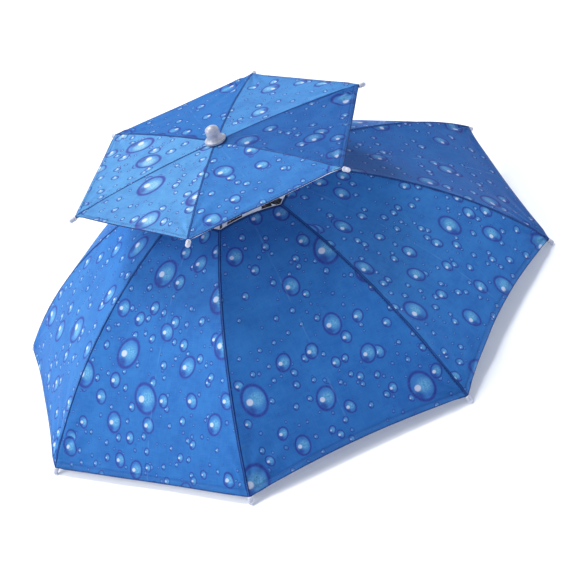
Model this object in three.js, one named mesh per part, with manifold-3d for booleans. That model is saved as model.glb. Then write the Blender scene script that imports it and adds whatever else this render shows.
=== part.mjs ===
// An umbrella hat with two tiers: a small canopy of six panels stands on a short post above
// a large canopy of eight panels, whose open crown lets air out between the tiers.
// Each canopy is stretched over rods that are notched into a hub on the post and propped by
// stretchers from a runner. A moulded head frame under the post carries an elastic headband.
// Millimetres, +Z up. The origin is on the surface that the rib tips stand on, under the post.
import * as THREE from "three";
import { mergeVertices } from "three/addons/utils/BufferGeometryUtils.js";
import Module from "manifold-3d";

// Fits
const CLEARANCE = 0.3; // between pieces that touch or pass through each other
const RIDGE_CLEARANCE = 0.5; // between a rod and the cloth stretched over it
const CLOTH_THICKNESS = 1.1;

// Large canopy, measured to the rod's axis at a panel's corners
const RIM_RADIUS = 345;
const VENT_RADIUS = 98;
const VENT_RISE = 179; // crown opening above the rim
const LOWER_RIB_BOW = 22.5; // bulge of a rib over the straight line from vent to rim
const LOWER_HEM_RISE = 10; // how far the tautest hem is cut back halfway between two tips
const LOWER_PANEL_SAG = 5; // how far a panel hangs in under the line between its ribs
const VENT_EDGE_SAG = 3; // how far the crown opening's edge is cut back halfway between ribs

// Small canopy
const UPPER_TURN = THREE.MathUtils.degToRad(27.6); // first upper rib from the first lower rib
const UPPER_RIM_RADIUS = 185;
const TIER_RISE = 49; // upper rim above the crown opening
const UPPER_CROWN_RISE = 10.5; // upper crown above the upper rim
const UPPER_RIB_BOW = 3;
const UPPER_HEM_RISE = 4.5;
const UPPER_PANEL_SAG = 1.5;
const UPPER_CROWN_RADIUS = 6.5; // hole in the cloth for the post

// The rods are springy and the cloth pulls on them unevenly, so no two corners stand alike.
// Each row is one rod's tip, and the hem from there to the next tip, as shares of these sizes.
const TIP_LIFT = 58; // upwards
const TIP_REACH = 4; // outwards
const TIP_TURN = THREE.MathUtils.degToRad(3.5); // round the post
const LOWER_CORNERS = [
  { lift: 0, reach: 0, turn: 1.2, hem: 0.6 },
  { lift: 1, reach: 1, turn: -0.8, hem: 0.3 },
  { lift: 0.35, reach: 0, turn: 0, hem: 0.3 },
  { lift: 0, reach: 0, turn: 0, hem: 0.3 },
  { lift: 0, reach: 0, turn: 0, hem: 0.5 },
  { lift: 0, reach: 1, turn: 0.25, hem: 0.05 },
  { lift: 0, reach: 0, turn: 0.5, hem: 0 },
  { lift: 0, reach: -1, turn: 0.2, hem: 1 },
];
const UPPER_CORNERS = [
  { lift: 0, reach: 0, turn: 0, hem: 1 },
  { lift: 0, reach: 0, turn: -0.7, hem: 1 },
  { lift: 0, reach: 0, turn: 0, hem: 1 },
  { lift: 0, reach: 0, turn: 0, hem: 1 },
  { lift: 0, reach: 0, turn: 0.2, hem: 1 },
  { lift: 0, reach: 1, turn: 0, hem: 1 },
];

// Rods, stretchers and tips
const ROD_RADIUS = 1.5;
const ROD_SIDES = 8;
const STRETCHER_WIDTH = 3;
const STRETCHER_HEIGHT = 2.4;
const SADDLE_LENGTH = 8;
const SADDLE_WIDTH = 5.4;
const SADDLE_DEPTH = 3.6; // below the rod's axis
const LOWER_SADDLE_RADIUS = 118; // from the post to where a stretcher holds its rib
const UPPER_SADDLE_RADIUS = 78;
const TIP_RADIUS = 2.9;
const TIP_NECK_RADIUS = 2.5;
const TIP_NECK_LENGTH = 2;
const TIP_LENGTH = 9;
const TIP_SOCKET_DEPTH = 4.5;
const TIP_SIDES = 8;
const TIP_ROUND_STEPS = 2;

// Post, hubs, runners and ferrule
const POST_RADIUS = 4;
const COLLAR_RADIUS = 16;
const COLLAR_HEIGHT = 8;
const NOTCH_INNER_RADIUS = 9;
const COLLAR_SIDES = 24;
const LOWER_RUNNER_DROP = 34; // lower runner below the lower hub
const UPPER_RUNNER_DROP = 30; // upper runner below the upper hub
const FERRULE_BASE_RADIUS = 13;
const FERRULE_STEM_RADIUS = 7.4;
const FERRULE_HEIGHT = 20;
const FERRULE_LIP = 3; // height of the flared foot's upright edge
const FERRULE_SOCKET_DEPTH = 11;

// Head frame and headband
const BAND_LENGTH_RADIUS = 94; // half the loop from forehead to nape
const BAND_WIDTH_RADIUS = 77; // half the loop from ear to ear
const BAND_THICKNESS = 2.4;
const BAND_HEIGHT = 30;
const BAND_DROP = 72; // top of the band below the crown disc
const BAND_SEGMENTS = 20;
const DISC_RADIUS = 24;
const DISC_THICKNESS = 3;
const SOCKET_HEIGHT = 6; // collar on the disc that holds the post
const SOCKET_WALL = 2.5;
const ARM_WIDTH = 14;
const ARM_THICKNESS = 2.4;
const LOOP_WALL = 2;
const LOOP_WIDTH = 17;
const ARM_STEPS = 8;

const TURN = Math.PI * 2;
const WELD = 1e-4; // vertices closer than this are one
const UP = new THREE.Vector3(0, 0, 1);

const wasm = await Module();
wasm.setup();

const finishes = {
  cloth: new THREE.MeshStandardMaterial({ color: 0x2f78c8, roughness: 0.55, metalness: 0 }),
  rod: new THREE.MeshStandardMaterial({ color: 0x16181b, roughness: 0.4, metalness: 0.6 }),
  moulding: new THREE.MeshStandardMaterial({ color: 0x1b1c1f, roughness: 0.5, metalness: 0 }),
  tip: new THREE.MeshStandardMaterial({ color: 0xf2f1f4, roughness: 0.3, metalness: 0 }),
  ferrule: new THREE.MeshStandardMaterial({ color: 0xaab2bd, roughness: 0.25, metalness: 0 }),
  elastic: new THREE.MeshStandardMaterial({ color: 0x15161a, roughness: 0.85, metalness: 0 }),
};

/** A closed geometry as a solid that can be cut and joined. */
function solidOf(geometry) {
  const loose = geometry.index ? geometry.toNonIndexed() : geometry;
  const bare = new THREE.BufferGeometry().setAttribute("position", loose.getAttribute("position"));
  const welded = mergeVertices(bare, WELD);
  return new wasm.Manifold(
    new wasm.Mesh({
      numProp: 3,
      vertProperties: welded.attributes.position.array,
      triVerts: new Uint32Array(welded.index.array),
    }),
  );
}

/** A solid back as a geometry. */
function geometryOf(solid) {
  const mesh = solid.getMesh();
  const geometry = new THREE.BufferGeometry();
  geometry.setAttribute("position", new THREE.BufferAttribute(mesh.vertProperties, 3));
  geometry.setIndex(new THREE.BufferAttribute(mesh.triVerts, 1));
  geometry.computeVertexNormals();
  return geometry;
}

/** A profile of [radius, height] pairs turned about +Z. */
function revolved(profile, sides) {
  const points = profile.map(([radius, height]) => new THREE.Vector2(radius, height));
  return new THREE.LatheGeometry(points, sides).rotateX(Math.PI / 2);
}

/** A box that runs out from the post between two distances and two heights, turned about +Z. */
function turnedBox({ from, to, width, bottom, top, angle }) {
  const box = new THREE.BoxGeometry(to - from, width, top - bottom);
  box.translate((from + to) / 2, 0, (bottom + top) / 2);
  return box.rotateZ(angle);
}

/** The circular arc that a rod follows in its upright plane, as height over distance from the post. */
class RibArc {
  constructor(inner, outer, bow) {
    const chord = outer.clone().sub(inner);
    const half = chord.length() / 2;
    const outward = new THREE.Vector2(-chord.y, chord.x).normalize();
    this.radius = (half * half + bow * bow) / (2 * bow);
    this.centre = inner
      .clone()
      .lerp(outer, 0.5)
      .addScaledVector(outward, bow - this.radius);
  }

  raised(height) {
    this.centre.y += height;
    return this;
  }

  heightAt(distance) {
    return this.centre.y + Math.sqrt(this.radius ** 2 - (distance - this.centre.x) ** 2);
  }

  /** The greatest height between two distances. */
  peakBetween(from, to) {
    return this.heightAt(THREE.MathUtils.clamp(this.centre.x, from, to));
  }

  /** Angle below the horizontal. */
  slopeAt(distance) {
    return Math.asin((distance - this.centre.x) / this.radius);
  }
}

// Tip caps: a neck with a socket for the rod, then a rounded end
const socketRadius = (ROD_RADIUS + CLEARANCE) / Math.cos(Math.PI / TIP_SIDES);
const tipRoundStart = TIP_LENGTH - TIP_RADIUS;
const tipProfile = [
  [0, TIP_SOCKET_DEPTH],
  [socketRadius, TIP_SOCKET_DEPTH],
  [socketRadius, 0],
  [TIP_NECK_RADIUS, 0],
  [TIP_NECK_RADIUS, TIP_NECK_LENGTH],
  [TIP_RADIUS, TIP_NECK_LENGTH + 1],
  [TIP_RADIUS, tipRoundStart],
];
for (let step = 1; step < TIP_ROUND_STEPS; step++) {
  const round = (step / TIP_ROUND_STEPS) * (Math.PI / 2);
  tipProfile.push([TIP_RADIUS * Math.cos(round), tipRoundStart + TIP_RADIUS * Math.sin(round)]);
}
tipProfile.push([0, TIP_LENGTH]);

/** How far a tip reaches below the panel's corner, on a rod that ends at this slope. */
function tipDrop(slope) {
  const depths = tipProfile.map(
    ([radius, along]) => (along + CLEARANCE) * Math.sin(slope) + radius * Math.cos(slope),
  );
  return Math.max(...depths);
}

/**
 * One tier of rods and cloth. `inner` and `outer` are where its cloth starts and ends on a rod,
 * as distance from the post and height. Each rod takes its own tip's place from `corners`.
 */
function tierOf({ name, turn, inner, outer, bow, corners, base }) {
  const rods = corners.map(({ lift, reach, turn: sweep, hem }, index) => {
    const end = new THREE.Vector2(outer.x + reach * TIP_REACH, outer.y);
    return {
      arc: new RibArc(inner, end, bow).raised(base),
      angle: turn + (index / corners.length) * TURN,
      reach: end.x - inner.x,
      lift: lift * TIP_LIFT,
      sweep: sweep * TIP_TURN,
      hem,
    };
  });
  return { name, inner: inner.x, rods };
}

const ventCorner = new THREE.Vector2(VENT_RADIUS, VENT_RISE);
const rimCorner = new THREE.Vector2(RIM_RADIUS, 0);
const rimHeight = tipDrop(new RibArc(ventCorner, rimCorner, LOWER_RIB_BOW).slopeAt(RIM_RADIUS));
const lower = tierOf({
  name: "lower",
  turn: 0,
  inner: ventCorner,
  outer: rimCorner,
  bow: LOWER_RIB_BOW,
  corners: LOWER_CORNERS,
  base: rimHeight,
});
const upper = tierOf({
  name: "upper",
  turn: UPPER_TURN,
  inner: new THREE.Vector2(UPPER_CROWN_RADIUS, UPPER_CROWN_RISE),
  outer: new THREE.Vector2(UPPER_RIM_RADIUS, 0),
  bow: UPPER_RIB_BOW,
  corners: UPPER_CORNERS,
  base: rimHeight + VENT_RISE + TIER_RISE,
});

/** Rod number `index`, from 0 and round again past the last. */
function rodOf(tier, index) {
  return tier.rods[index % tier.rods.length];
}

/** A rod's heading round the post, its height, and how both change with the distance. */
function rodCourse(tier, rod, distance) {
  const share = Math.max(0, (distance - tier.inner) / rod.reach); // 0 where the cloth starts, 1 at its end
  const slope = rod.arc.slopeAt(distance);
  return {
    angle: rod.angle + rod.sweep * share,
    swing: share > 0 ? rod.sweep / rod.reach : 0,
    height: rod.arc.heightAt(distance) + rod.lift * share * share,
    climb: (2 * rod.lift * share) / rod.reach - Math.tan(slope),
  };
}

/** The direction in which a rod runs outwards at a distance from the post. */
function rodDirection(tier, rod, distance) {
  const { angle, swing, climb } = rodCourse(tier, rod, distance);
  const radial = new THREE.Vector3(Math.cos(angle), Math.sin(angle), 0);
  const tangent = new THREE.Vector3(-Math.sin(angle), Math.cos(angle), 0);
  return radial.addScaledVector(tangent, distance * swing).addScaledVector(UP, climb).normalize();
}

/** A place on a rod, `distance` from the post and `above` its axis. */
function rodPoint(tier, rod, distance, above = 0) {
  const { angle, height, climb } = rodCourse(tier, rod, distance);
  const slope = Math.atan(climb);
  const outwards = distance - above * Math.sin(slope);
  return new THREE.Vector3(
    outwards * Math.cos(angle),
    outwards * Math.sin(angle),
    height + above * Math.cos(slope),
  );
}

/** A rod as a curve, from a distance to its cloth's end, and then straight on by `extra`. */
class RodCurve extends THREE.Curve {
  constructor(tier, rod, from, extra) {
    super();
    Object.assign(this, { tier, rod, from, extra });
  }

  getPoint(t, target = new THREE.Vector3()) {
    const { tier, rod, from, extra } = this;
    const end = tier.inner + rod.reach;
    const distance = from + t * (end - from + extra);
    const onCloth = Math.min(distance, end);
    const direction = rodDirection(tier, rod, end);
    return target.copy(rodPoint(tier, rod, onCloth)).addScaledVector(direction, distance - onCloth);
  }
}

/** A round rod with flat ends. Its section is a polygon with ROD_SIDES corners. */
function ribRod(tier, rod, steps) {
  const section = new THREE.Shape();
  for (let side = 0; side < ROD_SIDES; side++) {
    const angle = (side / ROD_SIDES) * TURN;
    const corner = [ROD_RADIUS * Math.cos(angle), ROD_RADIUS * Math.sin(angle)];
    side === 0 ? section.moveTo(...corner) : section.lineTo(...corner);
  }
  section.closePath();
  const endLean = ROD_RADIUS * Math.abs(Math.sin(rod.arc.slopeAt(NOTCH_INNER_RADIUS)));
  const start = NOTCH_INNER_RADIUS + CLEARANCE + endLean;
  const extrudePath = new RodCurve(tier, rod, start, TIP_SOCKET_DEPTH);
  return new THREE.ExtrudeGeometry(section, { steps, extrudePath });
}

/** A tip cap on the end of a rod, just past the panel's corner. */
function ribTip(tier, rod) {
  const end = tier.inner + rod.reach;
  const direction = rodDirection(tier, rod, end);
  const place = rodPoint(tier, rod, end).addScaledVector(direction, CLEARANCE);
  const sideways = new THREE.Vector3().crossVectors(direction, UP).normalize();
  const under = new THREE.Vector3().crossVectors(direction, sideways);
  const tip = new THREE.LatheGeometry(
    tipProfile.map(([radius, along]) => new THREE.Vector2(radius, along)),
    TIP_SIDES,
  );
  const across = new THREE.Vector3().crossVectors(direction, under);
  const basis = new THREE.Matrix4().makeBasis(across, direction, under);
  return tip.applyMatrix4(basis.setPosition(place));
}

/**
 * A canopy as one closed sheet. A panel spans two rods in straight lines, hangs in by `sag`
 * between them, and its two free edges are cut back halfway by `hemRise` and `crownCut`.
 * Its thickness goes outwards, along the normals of the sheet's own grid.
 */
function canopySheet(tier, { columns, rows, sag, hemRise, crownCut }) {
  const around = columns * tier.rods.length;
  const seat = ROD_RADIUS + RIDGE_CLEARANCE;
  const inside = [];
  for (let column = 0; column < around; column++) {
    const panel = Math.floor(column / columns);
    const left = rodOf(tier, panel);
    const right = rodOf(tier, panel + 1);
    const across = (column % columns) / columns;
    const belly = 4 * across * (1 - across);
    const first = (crownCut / left.reach) * belly;
    const last = 1 - ((left.hem * hemRise) / left.reach) * belly;
    for (let row = 0; row <= rows; row++) {
      const along = first + ((last - first) * row) / rows;
      const onLeft = rodPoint(tier, left, tier.inner + along * left.reach, seat);
      const onRight = rodPoint(tier, right, tier.inner + along * right.reach, seat);
      const point = onLeft.lerp(onRight, across);
      const slope = left.arc.slopeAt(tier.inner + along * left.reach);
      const inwards = new THREE.Vector3(point.x, point.y, 0).normalize();
      inwards.multiplyScalar(-Math.sin(slope)).addScaledVector(UP, -Math.cos(slope));
      inside.push(point.addScaledVector(inwards, sag * belly * Math.sin(Math.PI * Math.min(along, 1))));
    }
  }
  const at = (column, row) => ((column + around) % around) * (rows + 1) + row;
  const outside = inside.map((point, index) => {
    const column = Math.floor(index / (rows + 1));
    const row = index % (rows + 1);
    const sideways = inside[at(column + 1, row)].clone().sub(inside[at(column - 1, row)]);
    const downwards = inside[at(column, Math.min(row + 1, rows))].clone();
    downwards.sub(inside[at(column, Math.max(row - 1, 0))]);
    const normal = downwards.cross(sideways).normalize();
    return point.clone().addScaledVector(normal, CLOTH_THICKNESS);
  });
  const outer = inside.length;
  const faces = [];
  const quad = (a, b, c, d) => faces.push(a, b, c, a, c, d);
  for (let column = 0; column < around; column++) {
    for (let row = 0; row < rows; row++) {
      const corners = [at(column, row), at(column, row + 1), at(column + 1, row + 1), at(column + 1, row)];
      quad(...corners.map((corner) => corner + outer));
      quad(...corners.reverse());
    }
    quad(at(column, 0), at(column, 0) + outer, at(column + 1, 0) + outer, at(column + 1, 0));
    quad(at(column, rows) + outer, at(column, rows), at(column + 1, rows), at(column + 1, rows) + outer);
  }
  const geometry = new THREE.BufferGeometry().setFromPoints([...inside, ...outside]);
  geometry.setIndex(faces);
  geometry.computeVertexNormals();
  return geometry;
}

/** A collar on the post with a notch, open at the top, at each of the angles round the post. */
function notchedCollar({ angles, top, floor, width }) {
  const bore = POST_RADIUS + CLEARANCE;
  const bottom = top - COLLAR_HEIGHT;
  const ring = revolved(
    [
      [bore, bottom],
      [COLLAR_RADIUS, bottom],
      [COLLAR_RADIUS, top],
      [bore, top],
      [bore, bottom],
    ],
    COLLAR_SIDES,
  );
  let collar = solidOf(ring);
  for (const angle of angles) {
    const notch = turnedBox({
      from: NOTCH_INNER_RADIUS,
      to: COLLAR_RADIUS * 1.5,
      width: width + 2 * CLEARANCE,
      bottom: floor,
      top: top + COLLAR_HEIGHT,
      angle,
    });
    collar = collar.subtract(solidOf(notch));
  }
  return geometryOf(collar);
}

/** A flat bar from the runner's notch up to a grooved saddle under the rod. */
function stretcher(tier, rod, runnerMiddle, saddleRadius) {
  const { angle, height: heldHeight, climb } = rodCourse(tier, rod, saddleRadius);
  const slope = Math.atan(climb);
  const saddleBlock = new THREE.BoxGeometry(SADDLE_LENGTH, SADDLE_WIDTH, SADDLE_DEPTH);
  saddleBlock.translate(0, 0, -SADDLE_DEPTH / 2);
  const groove = new THREE.CylinderGeometry(
    ROD_RADIUS + CLEARANCE * 1.5,
    ROD_RADIUS + CLEARANCE * 1.5,
    SADDLE_LENGTH * 2,
    ROD_SIDES * 2,
  ).rotateZ(Math.PI / 2);
  const start = new THREE.Vector2(NOTCH_INNER_RADIUS + STRETCHER_HEIGHT / 2 + CLEARANCE, runnerMiddle);
  const end = new THREE.Vector2(saddleRadius, heldHeight - ROD_RADIUS - CLEARANCE - STRETCHER_HEIGHT);
  const run = end.clone().sub(start);
  const bar = new THREE.BoxGeometry(run.length(), STRETCHER_WIDTH, STRETCHER_HEIGHT);
  bar.rotateY(-run.angle());
  bar.translate((start.x + end.x) / 2, 0, (start.y + end.y) / 2);
  const placed = (geometry) => geometry.rotateY(-slope).translate(saddleRadius, 0, heldHeight);
  const joined = solidOf(bar).add(solidOf(placed(saddleBlock))).subtract(solidOf(placed(groove)));
  return geometryOf(joined).rotateZ(angle);
}

/** The lowest height of a tier's rods between two distances from the post. */
function lowestRod(tier, from, to) {
  return Math.min(...tier.rods.flatMap(({ arc }) => [arc.heightAt(from), arc.heightAt(to)]));
}

/** The greatest height of a tier's rods between two distances from the post. */
function highestRod(tier, from, to) {
  return Math.max(...tier.rods.map(({ arc }) => arc.peakBetween(from, to)));
}

// Heights of what is on the post, worked out from the rods' inner ends
const lowerRodLow = lowestRod(lower, NOTCH_INNER_RADIUS, COLLAR_RADIUS);
const upperRodLow = lowestRod(upper, NOTCH_INNER_RADIUS, COLLAR_RADIUS);
const upperHubReach = COLLAR_RADIUS / Math.cos(Math.PI / UPPER_CORNERS.length);
const upperClothLow = lowestRod(upper, NOTCH_INNER_RADIUS, upperHubReach);
const upperHubTop = upperClothLow + ROD_RADIUS - UPPER_PANEL_SAG / 2;
const lowerRunnerHeight = lowerRodLow - LOWER_RUNNER_DROP;
const upperRunnerHeight = upperRodLow - UPPER_RUNNER_DROP;
const discTop = lowerRunnerHeight - COLLAR_HEIGHT / 2 - CLEARANCE - SOCKET_HEIGHT;
const crownRest = discTop - DISC_THICKNESS;
const crownPeak = highestRod(upper, UPPER_CROWN_RADIUS, FERRULE_BASE_RADIUS);
const clothAtPost = crownPeak + ROD_RADIUS + RIDGE_CLEARANCE + CLOTH_THICKNESS;
const ferruleFoot = clothAtPost + CLEARANCE;
const postTop = ferruleFoot + FERRULE_SOCKET_DEPTH - CLEARANCE;
const postBottom = discTop + CLEARANCE;

/** The cap on top of the post: a rounded stem that flares to a foot with an upright lip. */
function ferruleCap() {
  const bore = POST_RADIUS + CLEARANCE;
  const flareSteps = 3;
  const domeSteps = 3;
  const flareTop = FERRULE_LIP + (FERRULE_BASE_RADIUS - FERRULE_STEM_RADIUS);
  const domeStart = FERRULE_HEIGHT - FERRULE_STEM_RADIUS * 0.8;
  const profile = [
    [0, FERRULE_SOCKET_DEPTH],
    [bore, FERRULE_SOCKET_DEPTH],
    [bore, 0],
    [FERRULE_BASE_RADIUS, 0],
    [FERRULE_BASE_RADIUS, FERRULE_LIP],
  ];
  for (let step = 1; step <= flareSteps; step++) {
    const turn = (step / flareSteps) * (Math.PI / 2);
    const radius = FERRULE_STEM_RADIUS + (FERRULE_BASE_RADIUS - FERRULE_STEM_RADIUS) * (1 - Math.sin(turn));
    profile.push([radius, FERRULE_LIP + (flareTop - FERRULE_LIP) * (1 - Math.cos(turn))]);
  }
  for (let step = 0; step < domeSteps; step++) {
    const turn = (step / domeSteps) * (Math.PI / 2);
    const height = domeStart + (FERRULE_HEIGHT - domeStart) * Math.sin(turn);
    profile.push([FERRULE_STEM_RADIUS * Math.cos(turn), height]);
  }
  profile.push([0, FERRULE_HEIGHT]);
  return revolved(profile, COLLAR_SIDES).translate(0, 0, ferruleFoot);
}

/** The post, closed at both ends. */
function centrePost() {
  const post = new THREE.CylinderGeometry(POST_RADIUS, POST_RADIUS, postTop - postBottom, COLLAR_SIDES / 2);
  return post.rotateX(Math.PI / 2).translate(0, 0, (postTop + postBottom) / 2);
}

const bandTop = crownRest - BAND_DROP;
const bandBottom = bandTop - BAND_HEIGHT;

/** The headband's loop as an upright elliptical wall, grown on every side by `grow`. */
function bandLoop(grow) {
  const half = BAND_THICKNESS / 2 + grow;
  const shape = new THREE.Shape();
  shape.absellipse(0, 0, BAND_WIDTH_RADIUS + half, BAND_LENGTH_RADIUS + half, 0, TURN);
  const hole = new THREE.Path();
  hole.absellipse(0, 0, BAND_WIDTH_RADIUS - half, BAND_LENGTH_RADIUS - half, 0, TURN);
  shape.holes.push(hole);
  const depth = BAND_HEIGHT + 2 * grow;
  const loop = new THREE.ExtrudeGeometry(shape, {
    depth,
    bevelEnabled: false,
    curveSegments: BAND_SEGMENTS,
  });
  return loop.translate(0, 0, bandBottom - grow);
}

/** One arm of the head frame, in the plane of +X: a quarter oval from the disc down to the band. */
function headArm(reach) {
  const inner = DISC_RADIUS * 0.6;
  const span = reach - inner;
  const fall = discTop - DISC_THICKNESS / 2 - bandTop;
  const edge = (side) => {
    const points = [];
    for (let step = 0; step <= ARM_STEPS; step++) {
      const turn = (step / ARM_STEPS) * (Math.PI / 2);
      const half = (side * ARM_THICKNESS) / 2;
      const radius = inner + (span + half) * Math.sin(turn);
      points.push(new THREE.Vector2(radius, bandTop + (fall + half) * Math.cos(turn)));
    }
    return points;
  };
  const outline = new THREE.Shape([...edge(1), ...edge(-1).reverse()]);
  const arm = new THREE.ExtrudeGeometry(outline, { depth: ARM_WIDTH, bevelEnabled: false });
  return arm.translate(0, 0, -ARM_WIDTH / 2).rotateX(Math.PI / 2);
}

/** The crown disc with its socket for the post, four arms, and a loop on each arm for the band. */
function headFrame() {
  const bore = POST_RADIUS + CLEARANCE;
  const socketOutside = bore + SOCKET_WALL;
  const disc = revolved(
    [
      [0, crownRest],
      [DISC_RADIUS, crownRest],
      [DISC_RADIUS, discTop],
      [socketOutside, discTop],
      [socketOutside, discTop + SOCKET_HEIGHT],
      [bore, discTop + SOCKET_HEIGHT],
      [bore, discTop],
      [0, discTop],
    ],
    COLLAR_SIDES,
  );
  let frame = solidOf(disc);
  const loopHalf = BAND_THICKNESS / 2 + CLEARANCE + LOOP_WALL;
  for (let arm = 0; arm < 4; arm++) {
    const angle = (arm / 4) * TURN;
    const reach = arm % 2 === 0 ? BAND_WIDTH_RADIUS : BAND_LENGTH_RADIUS;
    const loop = turnedBox({
      from: reach - loopHalf - CLEARANCE,
      to: reach + loopHalf,
      width: LOOP_WIDTH,
      bottom: bandBottom - CLEARANCE - LOOP_WALL,
      top: bandTop + CLEARANCE + LOOP_WALL,
      angle,
    });
    frame = frame.add(solidOf(headArm(reach).rotateZ(angle))).add(solidOf(loop));
  }
  return geometryOf(frame.subtract(solidOf(bandLoop(CLEARANCE))));
}

const hat = new THREE.Group();

/** Adds a named piece to the hat. */
function piece(name, geometry, material) {
  const mesh = new THREE.Mesh(geometry, material);
  mesh.name = name;
  hat.add(mesh);
}

piece(
  "lower_canopy",
  canopySheet(lower, {
    columns: 8,
    rows: 12,
    sag: LOWER_PANEL_SAG,
    hemRise: LOWER_HEM_RISE,
    crownCut: VENT_EDGE_SAG,
  }),
  finishes.cloth,
);
piece(
  "upper_canopy",
  canopySheet(upper, {
    columns: 4,
    rows: 5,
    sag: UPPER_PANEL_SAG,
    hemRise: UPPER_HEM_RISE,
    crownCut: 0,
  }),
  finishes.cloth,
);

const tiers = [
  { tier: lower, rodSteps: 14, runner: lowerRunnerHeight, saddle: LOWER_SADDLE_RADIUS },
  { tier: upper, rodSteps: 6, runner: upperRunnerHeight, saddle: UPPER_SADDLE_RADIUS },
];
for (const { tier, rodSteps, runner, saddle } of tiers) {
  for (const [index, rod] of tier.rods.entries()) {
    const number = index + 1;
    piece(`${tier.name}_rib_${number}`, ribRod(tier, rod, rodSteps), finishes.rod);
    piece(`${tier.name}_stretcher_${number}`, stretcher(tier, rod, runner, saddle), finishes.rod);
    piece(`${tier.name}_tip_${number}`, ribTip(tier, rod), finishes.tip);
  }
}

const rodLow = ROD_RADIUS + 2 * CLEARANCE;
const barLow = STRETCHER_HEIGHT / 2 + CLEARANCE;
const rodAngles = (tier) => tier.rods.map(({ angle }) => angle);
const stretcherAngles = (tier, saddle) => tier.rods.map((rod) => rodCourse(tier, rod, saddle).angle);
const collars = [
  {
    name: "lower_hub",
    angles: rodAngles(lower),
    top: lowerRodLow,
    floor: lowerRodLow - rodLow,
    width: 2 * ROD_RADIUS,
  },
  {
    name: "upper_hub",
    angles: rodAngles(upper),
    top: upperHubTop,
    floor: upperRodLow - rodLow,
    width: 2 * ROD_RADIUS,
  },
  {
    name: "lower_runner",
    angles: stretcherAngles(lower, LOWER_SADDLE_RADIUS),
    top: lowerRunnerHeight + COLLAR_HEIGHT / 2,
    floor: lowerRunnerHeight - barLow,
    width: STRETCHER_WIDTH,
  },
  {
    name: "upper_runner",
    angles: stretcherAngles(upper, UPPER_SADDLE_RADIUS),
    top: upperRunnerHeight + COLLAR_HEIGHT / 2,
    floor: upperRunnerHeight - barLow,
    width: STRETCHER_WIDTH,
  },
];
for (const { name, ...sizes } of collars) {
  piece(name, notchedCollar(sizes), finishes.moulding);
}

piece("post", centrePost(), finishes.rod);
piece("ferrule", ferruleCap(), finishes.ferrule);
piece("head_frame", headFrame(), finishes.moulding);
piece("headband", bandLoop(0), finishes.elastic);

export default hat;
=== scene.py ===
import math

import bmesh
import bpy
import numpy as np
from mathutils import Matrix, Vector


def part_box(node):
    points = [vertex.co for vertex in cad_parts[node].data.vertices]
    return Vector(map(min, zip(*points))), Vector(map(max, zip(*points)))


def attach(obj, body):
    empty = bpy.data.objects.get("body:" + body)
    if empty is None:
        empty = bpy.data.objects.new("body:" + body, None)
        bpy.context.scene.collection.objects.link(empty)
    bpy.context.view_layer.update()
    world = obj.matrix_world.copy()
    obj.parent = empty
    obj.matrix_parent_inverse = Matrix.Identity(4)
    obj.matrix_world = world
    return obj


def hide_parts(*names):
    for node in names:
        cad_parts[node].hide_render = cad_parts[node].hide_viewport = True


# An umbrella hat with two tiers of printed cloth, stretched over sprung rods.
# Metres, in the part's own frame. Places are read off the frame's nodes.

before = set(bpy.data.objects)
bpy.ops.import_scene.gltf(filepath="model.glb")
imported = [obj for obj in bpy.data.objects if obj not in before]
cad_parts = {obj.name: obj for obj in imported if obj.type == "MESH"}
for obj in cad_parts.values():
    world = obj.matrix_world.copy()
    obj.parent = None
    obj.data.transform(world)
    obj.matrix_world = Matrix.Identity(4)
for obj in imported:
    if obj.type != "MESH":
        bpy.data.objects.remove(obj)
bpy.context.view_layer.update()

TURN = 2 * math.pi
AXES = np.eye(3)
ROUND = 14  # sides of what is round

# Rods
ROD_CORNERS = 8  # of a rod's section in the frame
ROD_RADIUS = 0.0015
ROD_STEPS = 46
ROD_NOSE = 0.7  # share of the girth left at a rod's inner end
SLOPE_STEP = 0.0005  # length over which a rod's slope is taken
COURSE_STEPS = 60  # points at which a panel's run is measured
RUN_STEPS = 40  # points at which its flat length is measured

# The cloth of each tier. Lists run panel by panel, from the rod at the back right.
CLOTHS = {
    "lower": {
        "panels": 8,
        "columns": 44,  # faces across a panel
        "rows": 84,  # faces down it
        "seed": 11,
        "lap": 0.0033,  # width of a seam's lapped cloth
        "hem_ease": 1.0,  # how much of the frame's hem cut shows once it is sewn
        "crown_shade": 0.25,  # painted shade at the crown, under the upper canopy
        "middle_light": 0.20,  # painted light halfway down each panel
        "wave": 0.0010,
        "fan": 0.0030,
        "pucker": 0.00045,
        "pucker_pitch": 0.019,
        "sags": [0.0045, -0.009, 0.0, -0.008, -0.001, 0.0045, 0.0045, 0.0045],
        "trims": [0.0, 0.0, 0.0, 0.0, 0.008, 0.0, 0.018, 0.0],  # cut off the hem, share of a panel
        "turns": [0.10, -0.12, 0.05, 0.1, -0.15, 0.08, -0.06, 0.12],  # how a panel lay on the roll
        "painted_shadings": [0.60, 0.45, 0.35, 0.15, 0.02, 0.18, 0.38, 0.08],  # painted shade above 0, painted light below
    },
    "upper": {
        "panels": 6,
        "columns": 34,
        "rows": 52,
        "seed": 23,
        "lap": 0.0023,
        "hem_ease": 0.0,
        "crown_shade": 0.0,
        "middle_light": 0.0,
        "wave": 0.0005,
        "fan": 0.0024,
        "pucker": 0.00030,
        "pucker_pitch": 0.017,
        "sags": [0.001] * 6,
        "trims": [0.0] * 6,
        "turns": [0.1, -0.1, 0.05, 0.12, -0.1, 0.06],
        # painted light and shade for each panel, mostly painted light
        "painted_shadings": [-0.40, 0.04, -0.74, -0.68, -0.14, 0.48],
    },
}
CLOTH_THICKNESS = 0.0005
CLOTH_LIFT = 0.0024  # outer face above a rod's axis
CROWN_TURN_IN = 0.0012  # the cloth's own edge lies this far inside the solid's
CROWN_EASE = -1.0  # the crown opening's edge is gathered inside the straight line instead
LEAST_CUT = 0.01  # a crown edge cut back by a smaller share of its panel counts as straight
CROWDING = 0.5  # how much closer the cloth's columns stand at the seams
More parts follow.
